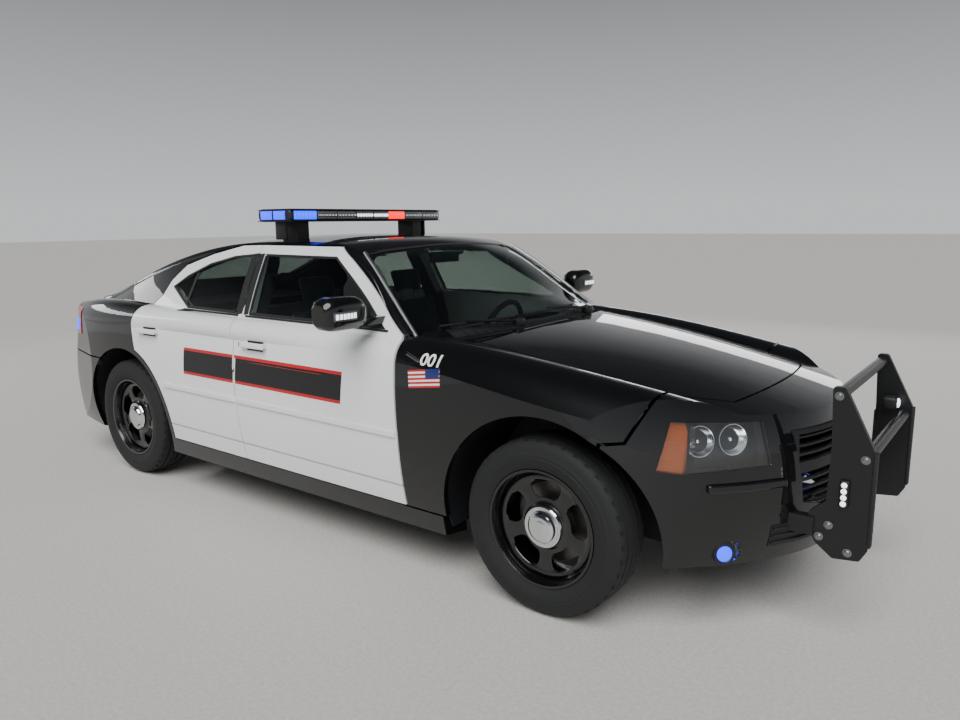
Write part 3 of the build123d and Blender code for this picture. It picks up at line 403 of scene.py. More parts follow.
# Wiper paint, IOR 1.5: matt black powder coat with a fine 1 mm stipple
matt_steel = grained_finish("matt_black_coated_steel", {
    "Base Color": "#0D0D0E", "Roughness": 0.48, "IOR": 1.5}, 900, 0.0002)
for name, pivot, elbow, tip, blade_low, blade_high in (
        ("passenger", (0.985, -0.25, 1.083), (0.968, -0.42, 1.098), (0.905, -0.56, 1.108),
         (0.958, -0.25, 1.1), (0.86, -0.7, 1.096)),
        ("driver", (0.985, 0.42, 1.08), (0.975, 0.25, 1.104), (0.955, 0.06, 1.112),
         (0.94, 0.33, 1.104), (0.97, -0.18, 1.106))):
    hinge = rounded_box((pivot[0] - 0.02, pivot[1] - 0.03, pivot[2] - 0.03),
                        (pivot[0] + 0.02, pivot[1] + 0.03, pivot[2] + 0.012), 0.008)
    settled(hinge, f"wiper_pivot_{name}", matt_steel)
    settled(rod([pivot, elbow, tip], 0.006), f"wiper_arm_{name}", matt_steel)
    blade = rod([blade_low, [(a + b) / 2 + c for a, b, c in zip(blade_low, blade_high, (0.012, 0, 0))],
                 blade_high], 0.006)
    settled(blade, f"wiper_blade_{name}", rubber_and_painted_shadow)


# Headlamps: clear moulded lenses over a dark housing with two chromed round
# reflectors and an amber turn-signal corner at the outer end.
def drawn(points):
    """A line extruded from point to point, left in edit mode with all of it selected."""
    bpy.ops.object.select_all(action="DESELECT")
    bpy.ops.mesh.primitive_plane_add(size=0.01, location=points[0])
    piece = bpy.context.object
    bpy.ops.object.transform_apply()
    bpy.ops.object.mode_set(mode="EDIT")
    bpy.ops.mesh.select_mode(type="VERT")
    bpy.ops.mesh.select_all(action="SELECT")
    bpy.ops.mesh.merge(type="CENTER")
    bpy.ops.mesh.select_all(action="SELECT")
    for before, after in zip(points, points[1:]):
        bpy.ops.mesh.extrude_region_move(TRANSFORM_OT_translate={"value": after - before})
    bpy.ops.mesh.select_all(action="SELECT")
    return piece


def turned(profile, centre, axis, steps=40):
    """Draws (distance along the axis, radius) points as a line and spins it round the axis."""
    axis = Vector(axis).normalized()
    out = axis.orthogonal().normalized()
    piece = drawn([Vector(centre) + axis * along + out * radius for along, radius in profile])
    bpy.ops.mesh.spin(steps=steps, angle=2 * pi, center=centre, axis=axis)
    bpy.ops.mesh.select_all(action="SELECT")
    bpy.ops.mesh.remove_doubles(threshold=0.00005)
    bpy.ops.mesh.normals_make_consistent(inside=False)
    bpy.ops.object.mode_set(mode="OBJECT")
    return piece


def copied(source):
    """A loose copy of a piece, with its own mesh."""
    copy = bpy.data.objects.new("copy", source.data.copy())
    bpy.context.scene.collection.objects.link(copy)
    return copy


def lens_copy(sign, shift, high_x=9.0):
    """The right or left half of the headlamps' solid up to high_x, moved inwards as what lies behind it."""
    copy = copied(nodes["headlamps"])
    bpy.ops.object.select_all(action="DESELECT")
    copy.select_set(True)
    bpy.context.view_layer.objects.active = copy
    bpy.ops.object.mode_set(mode="EDIT")
    bpy.ops.mesh.select_all(action="SELECT")
    bpy.ops.mesh.remove_doubles(threshold=0.00001)
    bpy.ops.mesh.select_all(action="SELECT")
    bpy.ops.mesh.bisect(plane_co=(0, 0, 0), plane_no=(0, sign, 0), clear_inner=True)
    bpy.ops.mesh.select_all(action="SELECT")
    bpy.ops.mesh.bisect(plane_co=(high_x, 0, 0), plane_no=(1, 0, 0), use_fill=True, clear_outer=True)
    bpy.ops.mesh.select_all(action="SELECT")
    bpy.ops.transform.translate(value=shift)
    bpy.ops.object.mode_set(mode="OBJECT")
    return copy


# Polycarbonate, IOR 1.586: hard-coated clear moulding, glossy and faintly cool
clear_polycarbonate = grained_finish("clear_polycarbonate", {
    "Base Color": "#F1F5F7", "Roughness": 0.0, "IOR": 1.586, "Transmission Weight": 1.0}, 25, 0.00003, 0.3)
wear(clear_polycarbonate, "headlamps", "fog_lamps")
# Black chrome on ABS, default IOR for a metal: dark, with a soft satin gleam
dark_chrome = grained_finish("black_chrome", {
    "Base Color": "#3A3B3D", "Metallic": 1.0, "Roughness": 0.28}, 600, 0.00005)
# Vacuum-metallised reflector, default IOR for a metal: mirror bright aluminium
bright_reflector = grained_finish("metallised_reflector", {
    "Base Color": "#F6F8FA", "Metallic": 1.0, "Roughness": 0.16}, 240, 0.0001)
# Amber acrylic, IOR 1.49: deep orange, moulded with optic ribs 4 mm apart, drawn
# 12.5 mm apart so that they show
amber_acrylic, shader, place = finish_of("amber_acrylic", {
    "Base Color": "#D2620C", "Roughness": 0.12, "IOR": 1.49})
ribs = node(amber_acrylic, "ShaderNodeTexWave", {"Vector": place, "Scale": 25.0669}, bands_direction="Z")
relief = node(amber_acrylic, "ShaderNodeBump", {"Height": ribs.outputs["Fac"], "Distance": 0.001})
amber_acrylic.node_tree.links.new(relief.outputs["Normal"], shader.inputs["Normal"])


def lit_finish(name, colour, strength):
    """A light-emitting diode behind its lens: glowing evenly in its colour, with a fine noise relief."""
    return grained_finish(name, {
        "Base Color": colour, "Roughness": 0.25, "Emission Color": colour,
        "Emission Strength": strength}, 500, 0.0003)


# Lit diodes: cool white, deep blue and red, all seen through clear optics
white_diode = lit_finish("white_diode", "#F4F8FF", 1.6)
blue_diode = lit_finish("blue_diode", "#0F35F5", 2.6)
red_diode = lit_finish("red_diode", "#F20C0C", 2.4)
for side, sign in SIDES:
    settled(lens_copy(sign, (-0.062, -sign * 0.046, -0.006)), f"headlamp_housing_{side}",
            dark_chrome)
    settled(lens_copy(sign, (-0.0215, -sign * 0.0165, 0), high_x=2.052), f"turn_signal_{side}",
            amber_acrylic)
    facing = (0.78, sign * 0.6, 0.16)
    for which, spot in (("outer", (2.052, sign * 0.648, 0.752)), ("inner", (2.14, sign * 0.553, 0.752))):
        bowl = turned([(0.012, 0.056), (0.008, 0.054), (-0.012, 0.048), (-0.028, 0.036), (-0.038, 0.018),
                       (-0.04, 0.009), (-0.043, 0.009), (-0.042, 0.02), (-0.031, 0.039), (-0.014, 0.051),
                       (0.008, 0.058), (0.012, 0.058), (0.012, 0.056)], spot, facing)
        settled(bowl, f"reflector_{which}_{side}", bright_reflector)
        bulb = turned([(-0.04, 0.0), (-0.04, 0.008), (-0.014, 0.008), (-0.008, 0.007), (-0.003, 0.004),
                       (-0.001, 0.0)], spot, facing, 16)
        settled(bulb, f"bulb_{which}_{side}", bright_reflector)

# Fog lamps: round blue diode lamps in the bumper's outer corners.
for side, sign in SIDES:
    facing = (0.7, sign * 0.7, 0.05)
    spot = (2.16, sign * 0.628, 0.334)
    bezel = turned([(-0.004, 0.03), (0.01, 0.03), (0.014, 0.034), (0.014, 0.041), (0.008, 0.045),
                    (-0.004, 0.045)], spot, facing)
    settled(bezel, f"fog_lamp_bezel_{side}", black_polypropylene)
    settled(turned([(0.0, 0.0), (0.0, 0.031), (0.011, 0.03), (0.015, 0.018), (0.016, 0.0)], spot, facing),
            f"fog_lamp_glow_{side}", blue_diode)

# Nose: a dark grille of cross bars behind the push bumper, and the black mesh of
# the lower air intake let into the bumper cover.
wear(black_polypropylene, "grille")
settled(rounded_box((2.041, -0.36, 0.44), (2.08, 0.36, 0.8), 0.006), "radiator",
        black_polypropylene)
for name, x_high, half_width in (("wide", 2.15, 0.6), ("nose", 2.27, 0.43)):
    settled(rounded_box((2.045, -half_width, 0.3 + 0.005 * (name == "nose")), (x_high, half_width, 0.309),
                        0.0015), f"undertray_{name}", black_polypropylene)
sill = strip_on("grille", "front", (0, 0, 0.5), 0.73, 0.017, -0.001, 0.011, cuts=(40, 2))
eased(sill, 0.004)
settled(sill, "grille_sill", dark_chrome)
settled(strip_on("front_bumper_cover", "front", (0, 0, 0.385), 0.98, 0.086, 0.0005, 0.002, cuts=(60, 6)),
        "intake_panel", black_polypropylene)
for i in range(3):
    settled(strip_on("front_bumper_cover", "front", (0, 0, 0.357 + i * 0.028), 0.97, 0.007, 0.002, 0.007,
                     cuts=(60, 1)), "intake_rib_%d" % i, black_polypropylene)
for side, sign in SIDES:
    brow = strip_on("front_bumper_cover", "front", (0, sign * 0.57, 0.592), 0.25, 0.034, -0.006, 0.02,
                    cuts=(30, 2))
    eased(brow, 0.009, 4)
    settled(brow, f"bumper_brow_{side}", black_enamel)

# Push bumper: two upright steel plates with folded flanges joined by tubes, powder
# coated black, bolted through the bumper to the front rails.
# Polyester powder coat on steel, IOR 1.5: satin black with a 1.5 mm orange-peel skin
powder_coat = grained_finish("black_powder_coat", {
    "Base Color": "#101113", "Roughness": 0.4, "IOR": 1.5}, 650, 0.0002)
wear(powder_coat, "push_bumper", "front_structure", "rear_structure", "floor_pan")
# Zinc-plated steel, default IOR for a metal: dull silver bolts
zinc_steel = grained_finish("zinc_plated_steel", {
    "Base Color": "#8B8D90", "Metallic": 1.0, "Roughness": 0.38}, 900, 0.0001)
# Neoprene push strip, IOR 1.52: dull black with ribs 3 mm apart, drawn 9.5 mm apart
# so that they show
push_rubber, shader, place = finish_of("ribbed_neoprene", {
    "Base Color": "#121213", "Roughness": 0.7, "IOR": 1.52})
ribs = node(push_rubber, "ShaderNodeTexWave", {"Vector": place, "Scale": 33.0}, bands_direction="Z")
relief = node(push_rubber, "ShaderNodeBump", {"Height": ribs.outputs["Fac"], "Distance": 0.0012})
push_rubber.node_tree.links.new(relief.outputs["Normal"], shader.inputs["Normal"])
for side, sign in SIDES:
    for part, low, high in (
            ("face", (2.6015, sign * 0.392, 0.395), (2.6135, sign * 0.428, 0.745)),
            ("inner_flange", (2.46, sign * 0.372, 0.56), (2.466, sign * 0.399, 0.72))):
        settled(rounded_box(low, high, 0.0028), f"push_{part}_{side}",
                push_rubber if part == "face" else powder_coat)
    for i, (x, z) in enumerate(((2.475, 0.935), (2.576, 0.716), (2.47, 0.45), (2.44, 0.4), (2.54, 0.36))):
        bolt = turned([(-0.001, 0.016), (0.002, 0.016), (0.003, 0.011), (0.009, 0.011), (0.011, 0.009),
                       (0.011, 0.0)], (x, sign * 0.422, z), (0, sign, 0), 12)
        settled(bolt, "push_bolt_%d_%s" % (i, side), zinc_steel)
    settled(rounded_box((2.5, sign * 0.4215, 0.53), (2.532, sign * 0.437, 0.632), 0.006),
            f"plate_lamp_{side}", black_polypropylene)
    for i in range(4):
        emitter = turned([(0, 0.01), (0.003, 0.01), (0.006, 0.006), (0.007, 0.0)],
                         (2.516, sign * 0.4368, 0.546 + i * 0.0233), (0, sign, 0), 16)
        settled(emitter, "plate_lamp_emitter_%d_%s" % (i, side), white_diode)
    settled(rounded_box((2.492, sign * 0.33, 0.738), (2.552, sign * 0.396, 0.792), 0.014),
            f"push_lamp_pod_{side}", black_polypropylene)
    pod_lens = turned([(-0.002, 0.021), (0.004, 0.02), (0.008, 0.012), (0.009, 0.0)],
                      (2.552, sign * 0.363, 0.765), (1, 0, 0), 24)
    settled(pod_lens, f"push_lamp_lens_{side}", white_diode)

# Light bar: a low extruded base with lamp modules all round under clear covers,
# on two feet across the roof; one blue and one red module are lit.
# Dark unlit module, IOR 1.586: smoky polycarbonate over chromed optics
smoked_cover = grained_finish("smoked_polycarbonate", {
    "Base Color": "#5C6268", "Roughness": 0.06, "IOR": 1.586, "Metallic": 0.35}, 300, 0.0004)
for face, x, direction in (("front", -0.235, 1), ("rear", -0.515, -1)):
    for i, (y_low, y_high, finish) in enumerate((
            (-0.592, -0.436, blue_diode), (-0.428, -0.29, smoked_cover), (-0.282, -0.144, smoked_cover),
            (-0.136, -0.004, smoked_cover), (0.004, 0.124, smoked_cover), (0.132, 0.272, red_diode),
            (0.28, 0.428, smoked_cover), (0.436, 0.592, smoked_cover))):
        lit = finish if face == "front" else smoked_cover
        settled(rounded_box((x - 0.01 * direction, y_low, 1.578), (x + 0.005 * direction, y_high, 1.624),
                            0.004), "bar_module_%s_%d" % (face, i), lit)
        for k in range(6):
            y = y_low + (y_high - y_low) * (k + 0.5) / 6
            emitter = turned([(-0.002, 0.009), (0.003, 0.009), (0.005, 0.005), (0.0055, 0.0)],
                             (x + 0.005 * direction, y, 1.601), (direction, 0, 0), 12)
            chip = lit
            if lit is smoked_cover:
                chip = white_diode if face == "front" and i in (3, 4) else bright_reflector
            settled(emitter, "bar_emitter_%s_%d_%d" % (face, i, k), chip)
for side, sign, lit in (("right", -1, blue_diode), ("left", 1, smoked_cover)):
    for part, x_low, x_high in (("a", -0.48, -0.385), ("b", -0.37, -0.275)):
        settled(rounded_box((x_low, sign * 0.612, 1.578), (x_high, sign * 0.624, 1.624), 0.004),
                f"bar_end_module_{part}_{side}", lit)
    settled(rounded_box((-0.42, sign * 0.56, 1.47), (-0.33, sign * 0.575, 1.57), 0.004), f"bar_strap_{side}",
            matt_steel)
for name, z_low, z_high in (("base_rail", 1.5675, 1.5725), ("top_rail", 1.6285, 1.6325)):
    settled(rounded_box((-0.522, -0.612, z_low), (-0.228, 0.612, z_high), 0.002), f"bar_{name}",
            matt_steel)

# Door mirrors: painted housings with a white diode module let into the front face
# and a mirror glass behind.
# First-surface mirror, default IOR for a metal: cool and nearly perfect
mirror_glass = grained_finish("mirror_glass", {
    "Base Color": "#D6DADD", "Metallic": 1.0, "Roughness": 0.02}, 30, 0.00002)
for side, sign in SIDES:
    door = f"front_door_{side}"
    settled(strip_on(f"door_mirror_{side}", "rear", (0, sign * 1.035, 1.17), 0.18, 0.104, 0.0006, 0.003,
                     cuts=(12, 8)), f"mirror_glass_{side}", mirror_glass, door)
    module = strip_on(f"door_mirror_{side}", "front", (0, sign * 1.058, 1.164), 0.128, 0.04, -0.002, 0.009,
                      cuts=(14, 4))
    eased(module, 0.004)
    settled(module, f"mirror_module_{side}", smoked_cover, door)
    for i in range(6):
        emitter = strip_on(f"door_mirror_{side}", "front", (0, sign * (1.008 + i * 0.02), 1.164), 0.013,
                           0.022, 0.006, 0.003, cuts=(3, 3))
        settled(emitter, "mirror_emitter_%d_%s" % (i, side), white_diode, door)

# Tail: red lamps with inner chambers, a bare plate in its recess, a trunk pull and
# the bumper's step pad; two bright exhaust tips below.
# Red acrylic, IOR 1.49: deep, glossy, with 5 mm optic squares in relief
red_acrylic, shader, place = finish_of("red_acrylic", {
    "Base Color": "#8E0B10", "Roughness": 0.08, "IOR": 1.49, "Coat Weight": 1.0, "Emission Color": "#C01018",
    "Emission Strength": 0.15})
squares = node(red_acrylic, "ShaderNodeTexVoronoi", {
    "Vector": place, "Scale": 200, "Randomness": 0.0}, distance="CHEBYCHEV")
relief = node(red_acrylic, "ShaderNodeBump", {"Height": squares.outputs["Distance"], "Distance": 0.0008})
red_acrylic.node_tree.links.new(relief.outputs["Normal"], shader.inputs["Normal"])
wear(red_acrylic, "tail_lamps")
# Polished chrome plate, default IOR for a metal: mirror bright, faintly blue
chrome = grained_finish("chrome_plate", {
    "Base Color": "#DCDEE0", "Metallic": 1.0, "Roughness": 0.07}, 120, 0.00004)
for side, sign in SIDES:
    settled(strip_on("tail_lamps", side, (-2.365, 0, 0.935), 0.1, 0.12, 0.0006, 0.002, cuts=(14, 10)),
            f"tail_lamp_lit_{side}", red_diode if side == "left" else blue_diode)
    wrap = strip_on(f"body_side_{side}", side, (-2.212, 0, 0.93), 0.146, 0.176, 0.0005, 0.004, cuts=(24, 30))
    eased(wrap, 0.0012)
    settled(wrap, f"tail_lamp_wrap_{side}", red_acrylic)
    settled(strip_on(f"body_side_{side}", side, (-2.222, 0, 0.905), 0.09, 0.078, 0.005, 0.002, cuts=(16, 14)),
            f"tail_lamp_wrap_lit_{side}", blue_diode)
    settled(strip_on("tail_lamps", side, (-2.4, 0, 0.868), 0.08, 0.026, 0.0006, 0.002, cuts=(10, 4)),
            f"tail_lamp_clear_{side}", smoked_cover)
    tip = turned([(0.0, 0.0315), (-0.002, 0.034), (0.06, 0.034), (0.062, 0.0315), (0.0, 0.0315)],
                 (-2.574, sign * 0.52, 0.262), (1, 0, 0))
    settled(tip, f"exhaust_tip_{side}", chrome)
plate = strip_on("trunk_lid", "rear", (0, 0, 0.85), 0.32, 0.155, 0.004, 0.002, cuts=(16, 8))
eased(plate, 0.0008, 1)
settled(plate, "bare_plate", satin_aluminium_and_painted_reflection, "trunk_lid")
settled(strip_on("trunk_lid", "rear", (0, 0, 0.85), 0.36, 0.19, -0.001, 0.005, cuts=(16, 8)), "plate_recess",
        black_polypropylene, "trunk_lid")
pull = strip_on("trunk_lid", "rear", (0, 0, 0.968), 0.56, 0.03, -0.001, 0.012, cuts=(30, 3))
eased(pull, 0.005, 3)
settled(pull, "trunk_pull", black_enamel, "trunk_lid")
step = strip_on("rear_bumper_cover", "rear", (0, 0, 0.56), 1.1, 0.05, -0.001, 0.008, cuts=(50, 3))
eased(step, 0.004)
settled(step, "bumper_pad", black_polypropylene)

# Fender marks: a generic plain unit number in white film and a small generic striped
# patch below it, cut from vinyl and stuck on behind the front wheels.
for side, sign in SIDES:
    bpy.ops.object.select_all(action="DESELECT")
    bpy.ops.object.text_add()
    number = bpy.context.object
    number.data.body = "001"
    number.data.align_x = "CENTER"
    number.data.align_y = "CENTER"
    number.data.offset = 0.02
    bpy.ops.object.convert(target="MESH")
    bpy.ops.object.mode_set(mode="EDIT")
    bpy.ops.mesh.select_all(action="SELECT")
    bpy.ops.mesh.quads_convert_to_tris()
    bpy.ops.mesh.subdivide(number_cuts=4)
    bpy.ops.object.mode_set(mode="OBJECT")
    number.matrix_world = (Matrix.Translation((0.974, sign * 1.5, 0.978)) @ FACING[side][0]
                           @ Matrix.Diagonal((0.082, 0.066, 1, 1)))
    bpy.ops.object.transform_apply()
    pressed_on(number, "front_fenders", side, 0.0004, 0.0003)
    settled(number, f"unit_number_{side}", vinyl["white"])
    for i in range(9):
        stripe = strip_on("front_fenders", side, (0.944 + i * 0.0016, 0, 0.938 - i * 0.0085), 0.18, 0.008,
                          0.0004, 0.0003, tilt=-sign * radians(8), cuts=(10, 1))
        settled(stripe, "patch_stripe_%d_%s" % (i, side),
                vinyl["red"] if i % 2 == 0 else vinyl["white"])
    corner = strip_on("front_fenders", side, (0.996, 0, 0.93), 0.078, 0.04, 0.0009, 0.0003,
                      tilt=-sign * radians(8), cuts=(6, 4))
    settled(corner, f"patch_corner_{side}", vinyl["blue"])

# Tyres: radial tyres with four deep grooves round the tread and cut shoulder blocks,
# moulded in black rubber, a little dusty on the walls.
# Carbon-black tyre rubber, IOR 1.52: dark grey, matt, 2 mm mottling from dust
tyre_rubber = grained_finish("tyre_rubber", {
    "Roughness": 0.78, "IOR": 1.52}, 450, 0.0003, shades=("#101112", "#1B1C1E"))
half_tread = [(0.0, 0.3634), (0.0095, 0.3634), (0.0105, 0.355), (0.0185, 0.355), (0.0195, 0.3632),
              (0.05, 0.3622), (0.051, 0.354), (0.059, 0.354), (0.06, 0.3617), (0.076, 0.3606),
              (0.088, 0.3585), (0.096, 0.353), (0.103, 0.344), (0.108, 0.333), (0.1105, 0.32),
              (0.1125, 0.306), (0.1135, 0.304), (0.113, 0.29), (0.1145, 0.288), (0.112, 0.274), (0.108, 0.26),
              (0.105, 0.254), (0.103, 0.247), (0.0935, 0.24)]
profile = [(-along, radius) for along, radius in reversed(half_tread[1:])] + half_tread
half_wheelbase, half_track, axle_height = 1.524, 0.8015, 0.3636
wheel_places = [(f"{end}_{side}", x, sign)
                for end, x in (("front", half_wheelbase), ("rear", -half_wheelbase))
                for side, sign in SIDES]
first_axle = Vector((half_wheelbase, -half_track, axle_height))
first_tyre = turned(profile, first_axle, (0, -1, 0), steps=120)
applied(first_tyre, "SOLIDIFY", thickness=0.006, offset=-1)
shoulder_low, shoulder_high, groove_radius = 0.06, 0.097, 0.352
shoulder_cuts = []
for face in first_tyre.data.polygons:
    spoke = face.center - first_axle
    outward = Vector((spoke.x, spoke.z))
    step = int((outward.angle_signed(Vector((1, 0))) + pi) / (2 * pi) * 120 + 0.001)
    on_shoulder = shoulder_low < abs(spoke.y) < shoulder_high and outward.length > groove_radius
    shoulder_cuts.append(on_shoulder and step % 3 == 0)
chosen(first_tyre, "FACE", shoulder_cuts)
bpy.ops.mesh.extrude_region_shrink_fatten(TRANSFORM_OT_shrink_fatten={"value": -0.005})
bpy.ops.object.mode_set(mode="OBJECT")
for corner, x, sign in wheel_places:
    tyre = copied(first_tyre)
    tyre.location = (x - half_wheelbase, sign * half_track + half_track, 0)
    settled(tyre, f"treaded_tyre_{corner}", tyre_rubber, f"wheel_{corner}", 28)
    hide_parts(f"tyre_{corner}")
bpy.data.objects.remove(first_tyre)


# Wheels: welded steel wheels, a rolled rim round a pressed disc with five windows, in
# black enamel, with a cast brake disc behind and a chrome cap pressed over the nuts.
def on_disc(place):
    """A place's radius on the disc, and its distance from a window's middle, which is 0.5 on a spoke."""
    outward = Vector((place.x - first_axle.x, place.z - first_axle.z))
    return outward.length, abs((outward.angle_signed(Vector((0, 1))) / (2 * pi) * 5 + 0.5) % 1 - 0.5)


# Wheel enamel, IOR 1.5: glossy black, soft where the press left it uneven by 3 mm
wheel_enamel = grained_finish("wheel_enamel", {
    "Base Color": "#0A0A0B", "Roughness": 0.22, "IOR": 1.5, "Coat Weight": 0.6,
    "Coat Roughness": 0.06}, 350, 0.0001)
# Turned cast iron, default IOR for a metal: grey rings left by the pads, 1 mm apart
brake_iron = grained_finish("turned_brake_iron", {
    "Base Color": "#6A6865", "Metallic": 1.0, "Roughness": 0.42}, 900, 0.0002)
barrel = turned([(0.102, 0.241), (0.102, 0.231), (0.09, 0.226), (0.06, 0.219), (-0.02, 0.214),
                 (-0.088, 0.218), (-0.102, 0.229), (-0.102, 0.241), (-0.0945, 0.242), (-0.0925, 0.229),
                 (-0.06, 0.226), (0.06, 0.226), (0.0925, 0.231), (0.0945, 0.242), (0.102, 0.241)], first_axle,
                (0, -1, 0), steps=96)
wheel_disc = turned([(0.052, 0.2185), (0.06, 0.212), (0.064, 0.204), (0.062, 0.195), (0.056, 0.187),
                     (0.053, 0.178), (0.052, 0.166), (0.051, 0.154), (0.05, 0.142), (0.05, 0.13),
                     (0.05, 0.119), (0.05, 0.109), (0.052, 0.099), (0.058, 0.092), (0.065, 0.086),
                     (0.066, 0.07), (0.066, 0.05), (0.078, 0.042), (0.08, 0.03), (0.08, 0.0)], first_axle,
                    (0, -1, 0), steps=100)
for vertex in wheel_disc.data.vertices:
    radius, off_window = on_disc(vertex.co)
    if 0.1 < radius < 0.19:
        vertex.co.y -= 0.012 * max(0.0, off_window * 2 - 0.45) * sin(pi * (radius - 0.1) / 0.09)
window_radius, window_half_height, window_half_width = 0.15, 0.035, 0.33
windows = []
for face in wheel_disc.data.polygons:
    radius, off_window = on_disc(face.center)
    across = (off_window / window_half_width) ** 4
    along = (abs(radius - window_radius) / window_half_height) ** 3
    windows.append(along + across < 1)
chosen(wheel_disc, "FACE", windows)
bpy.ops.mesh.delete(type="FACE")
bpy.ops.object.mode_set(mode="OBJECT")
applied(wheel_disc, "SMOOTH", factor=0.5, iterations=3)
applied(wheel_disc, "SOLIDIFY", thickness=0.006, offset=-1)
applied(wheel_disc, "SUBSURF", levels=1, render_levels=1)
brake = turned([(-0.024, 0.165), (-0.01, 0.165), (-0.01, 0.1), (0.04, 0.075), (0.046, 0.06), (0.046, 0.031),
                (-0.024, 0.031), (-0.024, 0.165)], first_axle, (0, -1, 0), steps=60)
for corner, x, sign in wheel_places:
    for part, source, finish in (
            ("rim_barrel", barrel, wheel_enamel), ("wheel_disc", wheel_disc, wheel_enamel),
            ("brake_disc", brake, brake_iron)):
        copy = copied(source)
        turn = Matrix.Identity(4) if sign < 0 else Matrix.Rotation(pi, 4, "Z")
        copy.matrix_world = (Matrix.Translation((x, sign * half_track, axle_height)) @ turn
                             @ Matrix.Translation(-first_axle))
        settled(copy, f"{part}_{corner}", finish, f"wheel_{corner}", 40)
        if part == "wheel_disc":
            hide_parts(f"rim_{corner}")
for source in (barrel, wheel_disc, brake):
    bpy.data.objects.remove(source)
for corner, x, sign in wheel_places:
    axle = Vector((x, sign * half_track, axle_height))
    cap = turned([(0.0665, 0.086), (0.072, 0.087), (0.078, 0.083), (0.08, 0.076), (0.078, 0.069),
                  (0.081, 0.064), (0.091, 0.059), (0.098, 0.049), (0.101, 0.04), (0.1005, 0.035),
                  (0.104, 0.027), (0.1062, 0.014), (0.1068, 0.0)], axle, (0, sign, 0), 60)
    settled(cap, f"hub_cap_{corner}", chrome, f"wheel_{corner}", 25)
    stem = Matrix.Rotation(radians(50), 3, "Y") @ Vector((0.208, 0, 0))
    settled(turned([(0.06, 0.006), (0.09, 0.005), (0.094, 0.004), (0.094, 0.0)], axle + stem, (0, sign, 0),
                   12), f"valve_{corner}", rubber_and_painted_shadow, f"wheel_{corner}")

# Running gear: cast and pressed steel, undercoated, with the exhaust in bare
# aluminised steel, bolted up under the floor.
# Chassis black on cast iron, IOR 1.5: dull, uneven, 3 mm cast grain
chassis_black = grained_finish("chassis_black", {
    "Roughness": 0.6, "IOR": 1.5}, 330, 0.0004, shades=("#1A1A1B", "#2A2927"))
wear(chassis_black, "front_suspension", "rear_suspension", "knuckle_right", "knuckle_left")
# Aluminised steel, default IOR for a metal: grey with a 20 mm heat mottling
aluminised_steel = grained_finish("aluminised_steel", {
    "Metallic": 1.0, "Roughness": 0.45}, 50, 0.0002, shades=("#6E6B66", "#8C8A86"))
wear(aluminised_steel, "exhaust")

# Engine: one plain block under a ribbed plastic cover, with a battery and a
# washer bottle beside it on the front rails.
# Cast iron, default IOR for a metal: dark grey, matt, 4 mm sand-cast grain
cast_iron = grained_finish("cast_iron", {
    "Metallic": 0.8, "Roughness": 0.6}, 250, 0.0008, shades=("#4A4A4B", "#5C5B59"))
wear(cast_iron, "engine_block")
settled(rounded_box((1.24, -0.21, 0.859), (1.8, 0.21, 0.885), 0.01), "engine_cover",
        black_polypropylene)
for i in range(7):
    settled(rounded_box((1.27, -0.165 + i * 0.055 - 0.008, 0.884), (1.77, -0.165 + i * 0.055 + 0.008, 0.892),
                        0.003), "engine_cover_rib_%d" % i, black_polypropylene)
settled(rounded_box((1.7, -0.44, 0.5), (1.87, -0.29, 0.69), 0.008), "battery",
        black_polypropylene)
# Natural polyethylene, IOR 1.51: milky white, soft in its gloss, 3 mm flow grain
milky_polyethylene = grained_finish("milky_polyethylene", {
    "Base Color": "#D9D6CB", "Roughness": 0.4, "IOR": 1.51, "Subsurface Weight": 0.2}, 300, 0.0001)
settled(rounded_box((1.72, 0.3, 0.5), (1.86, 0.43, 0.66), 0.02), "washer_bottle",
        milky_polyethylene)
neck = turned([(0, 0.03), (0.03, 0.03), (0.032, 0.036), (0.048, 0.036), (0.052, 0.03), (0.052, 0.0)],
              (1.79, 0.365, 0.658), (0, 0, 1))
settled(neck, "washer_bottle_cap", black_polypropylene)

# Cabin: a moulded dashboard with an instrument hood, vents and a centre stack, a
# leather-grained steering wheel, a floor console and padded door armrests.
# Thermoplastic skin, IOR 1.5: soft black grey with a 2 mm leather grain
cabin_skin, shader, place = finish_of("grained_cabin_skin", {
    "Base Color": "#25262A", "Roughness": 0.6, "IOR": 1.5})
cells = node(cabin_skin, "ShaderNodeTexVoronoi", {"Vector": place, "Scale": 500})
relief = node(cabin_skin, "ShaderNodeBump", {"Height": cells.outputs["Distance"], "Distance": 0.0004})
cabin_skin.node_tree.links.new(relief.outputs["Normal"], shader.inputs["Normal"])
wear(cabin_skin, "dashboard", "steering_column", "interior_mirror", "steering_wheel")
settled(rounded_box((0.6, 0.2, 0.998), (0.74, 0.54, 1.04), 0.018), "instrument_hood",
        cabin_skin)
settled(rounded_box((0.575, 0.235, 0.94), (0.6, 0.505, 1.03), 0.006), "instrument_panel",
        black_polypropylene)
settled(rounded_box((0.53, -0.11, 0.72), (0.566, 0.11, 0.95), 0.01), "centre_stack",
        black_polypropylene)
for i, y in enumerate((-0.64, -0.06, 0.06, 0.64)):
    settled(rounded_box((0.538, y - 0.045, 0.955), (0.58, y + 0.045, 0.99), 0.006), "dash_vent_%d" % i,
            matt_steel)
settled(rounded_box((-0.25, -0.085, 0.396), (0.48, 0.085, 0.52), 0.02), "floor_console",
        cabin_skin)
hub_pad = turned([(0.0, 0.066), (-0.01, 0.066), (-0.022, 0.058), (-0.028, 0.03), (-0.029, 0.0)],
                 (0.43, 0.37, 0.93), (0.913545, 0, -0.406737))
settled(hub_pad, "steering_wheel_pad", cabin_skin, "steering_wheel")
settled(rounded_box((0.2975, -0.112, 1.342), (0.3005, 0.112, 1.388), 0.001), "interior_mirror_glass",
        mirror_glass)
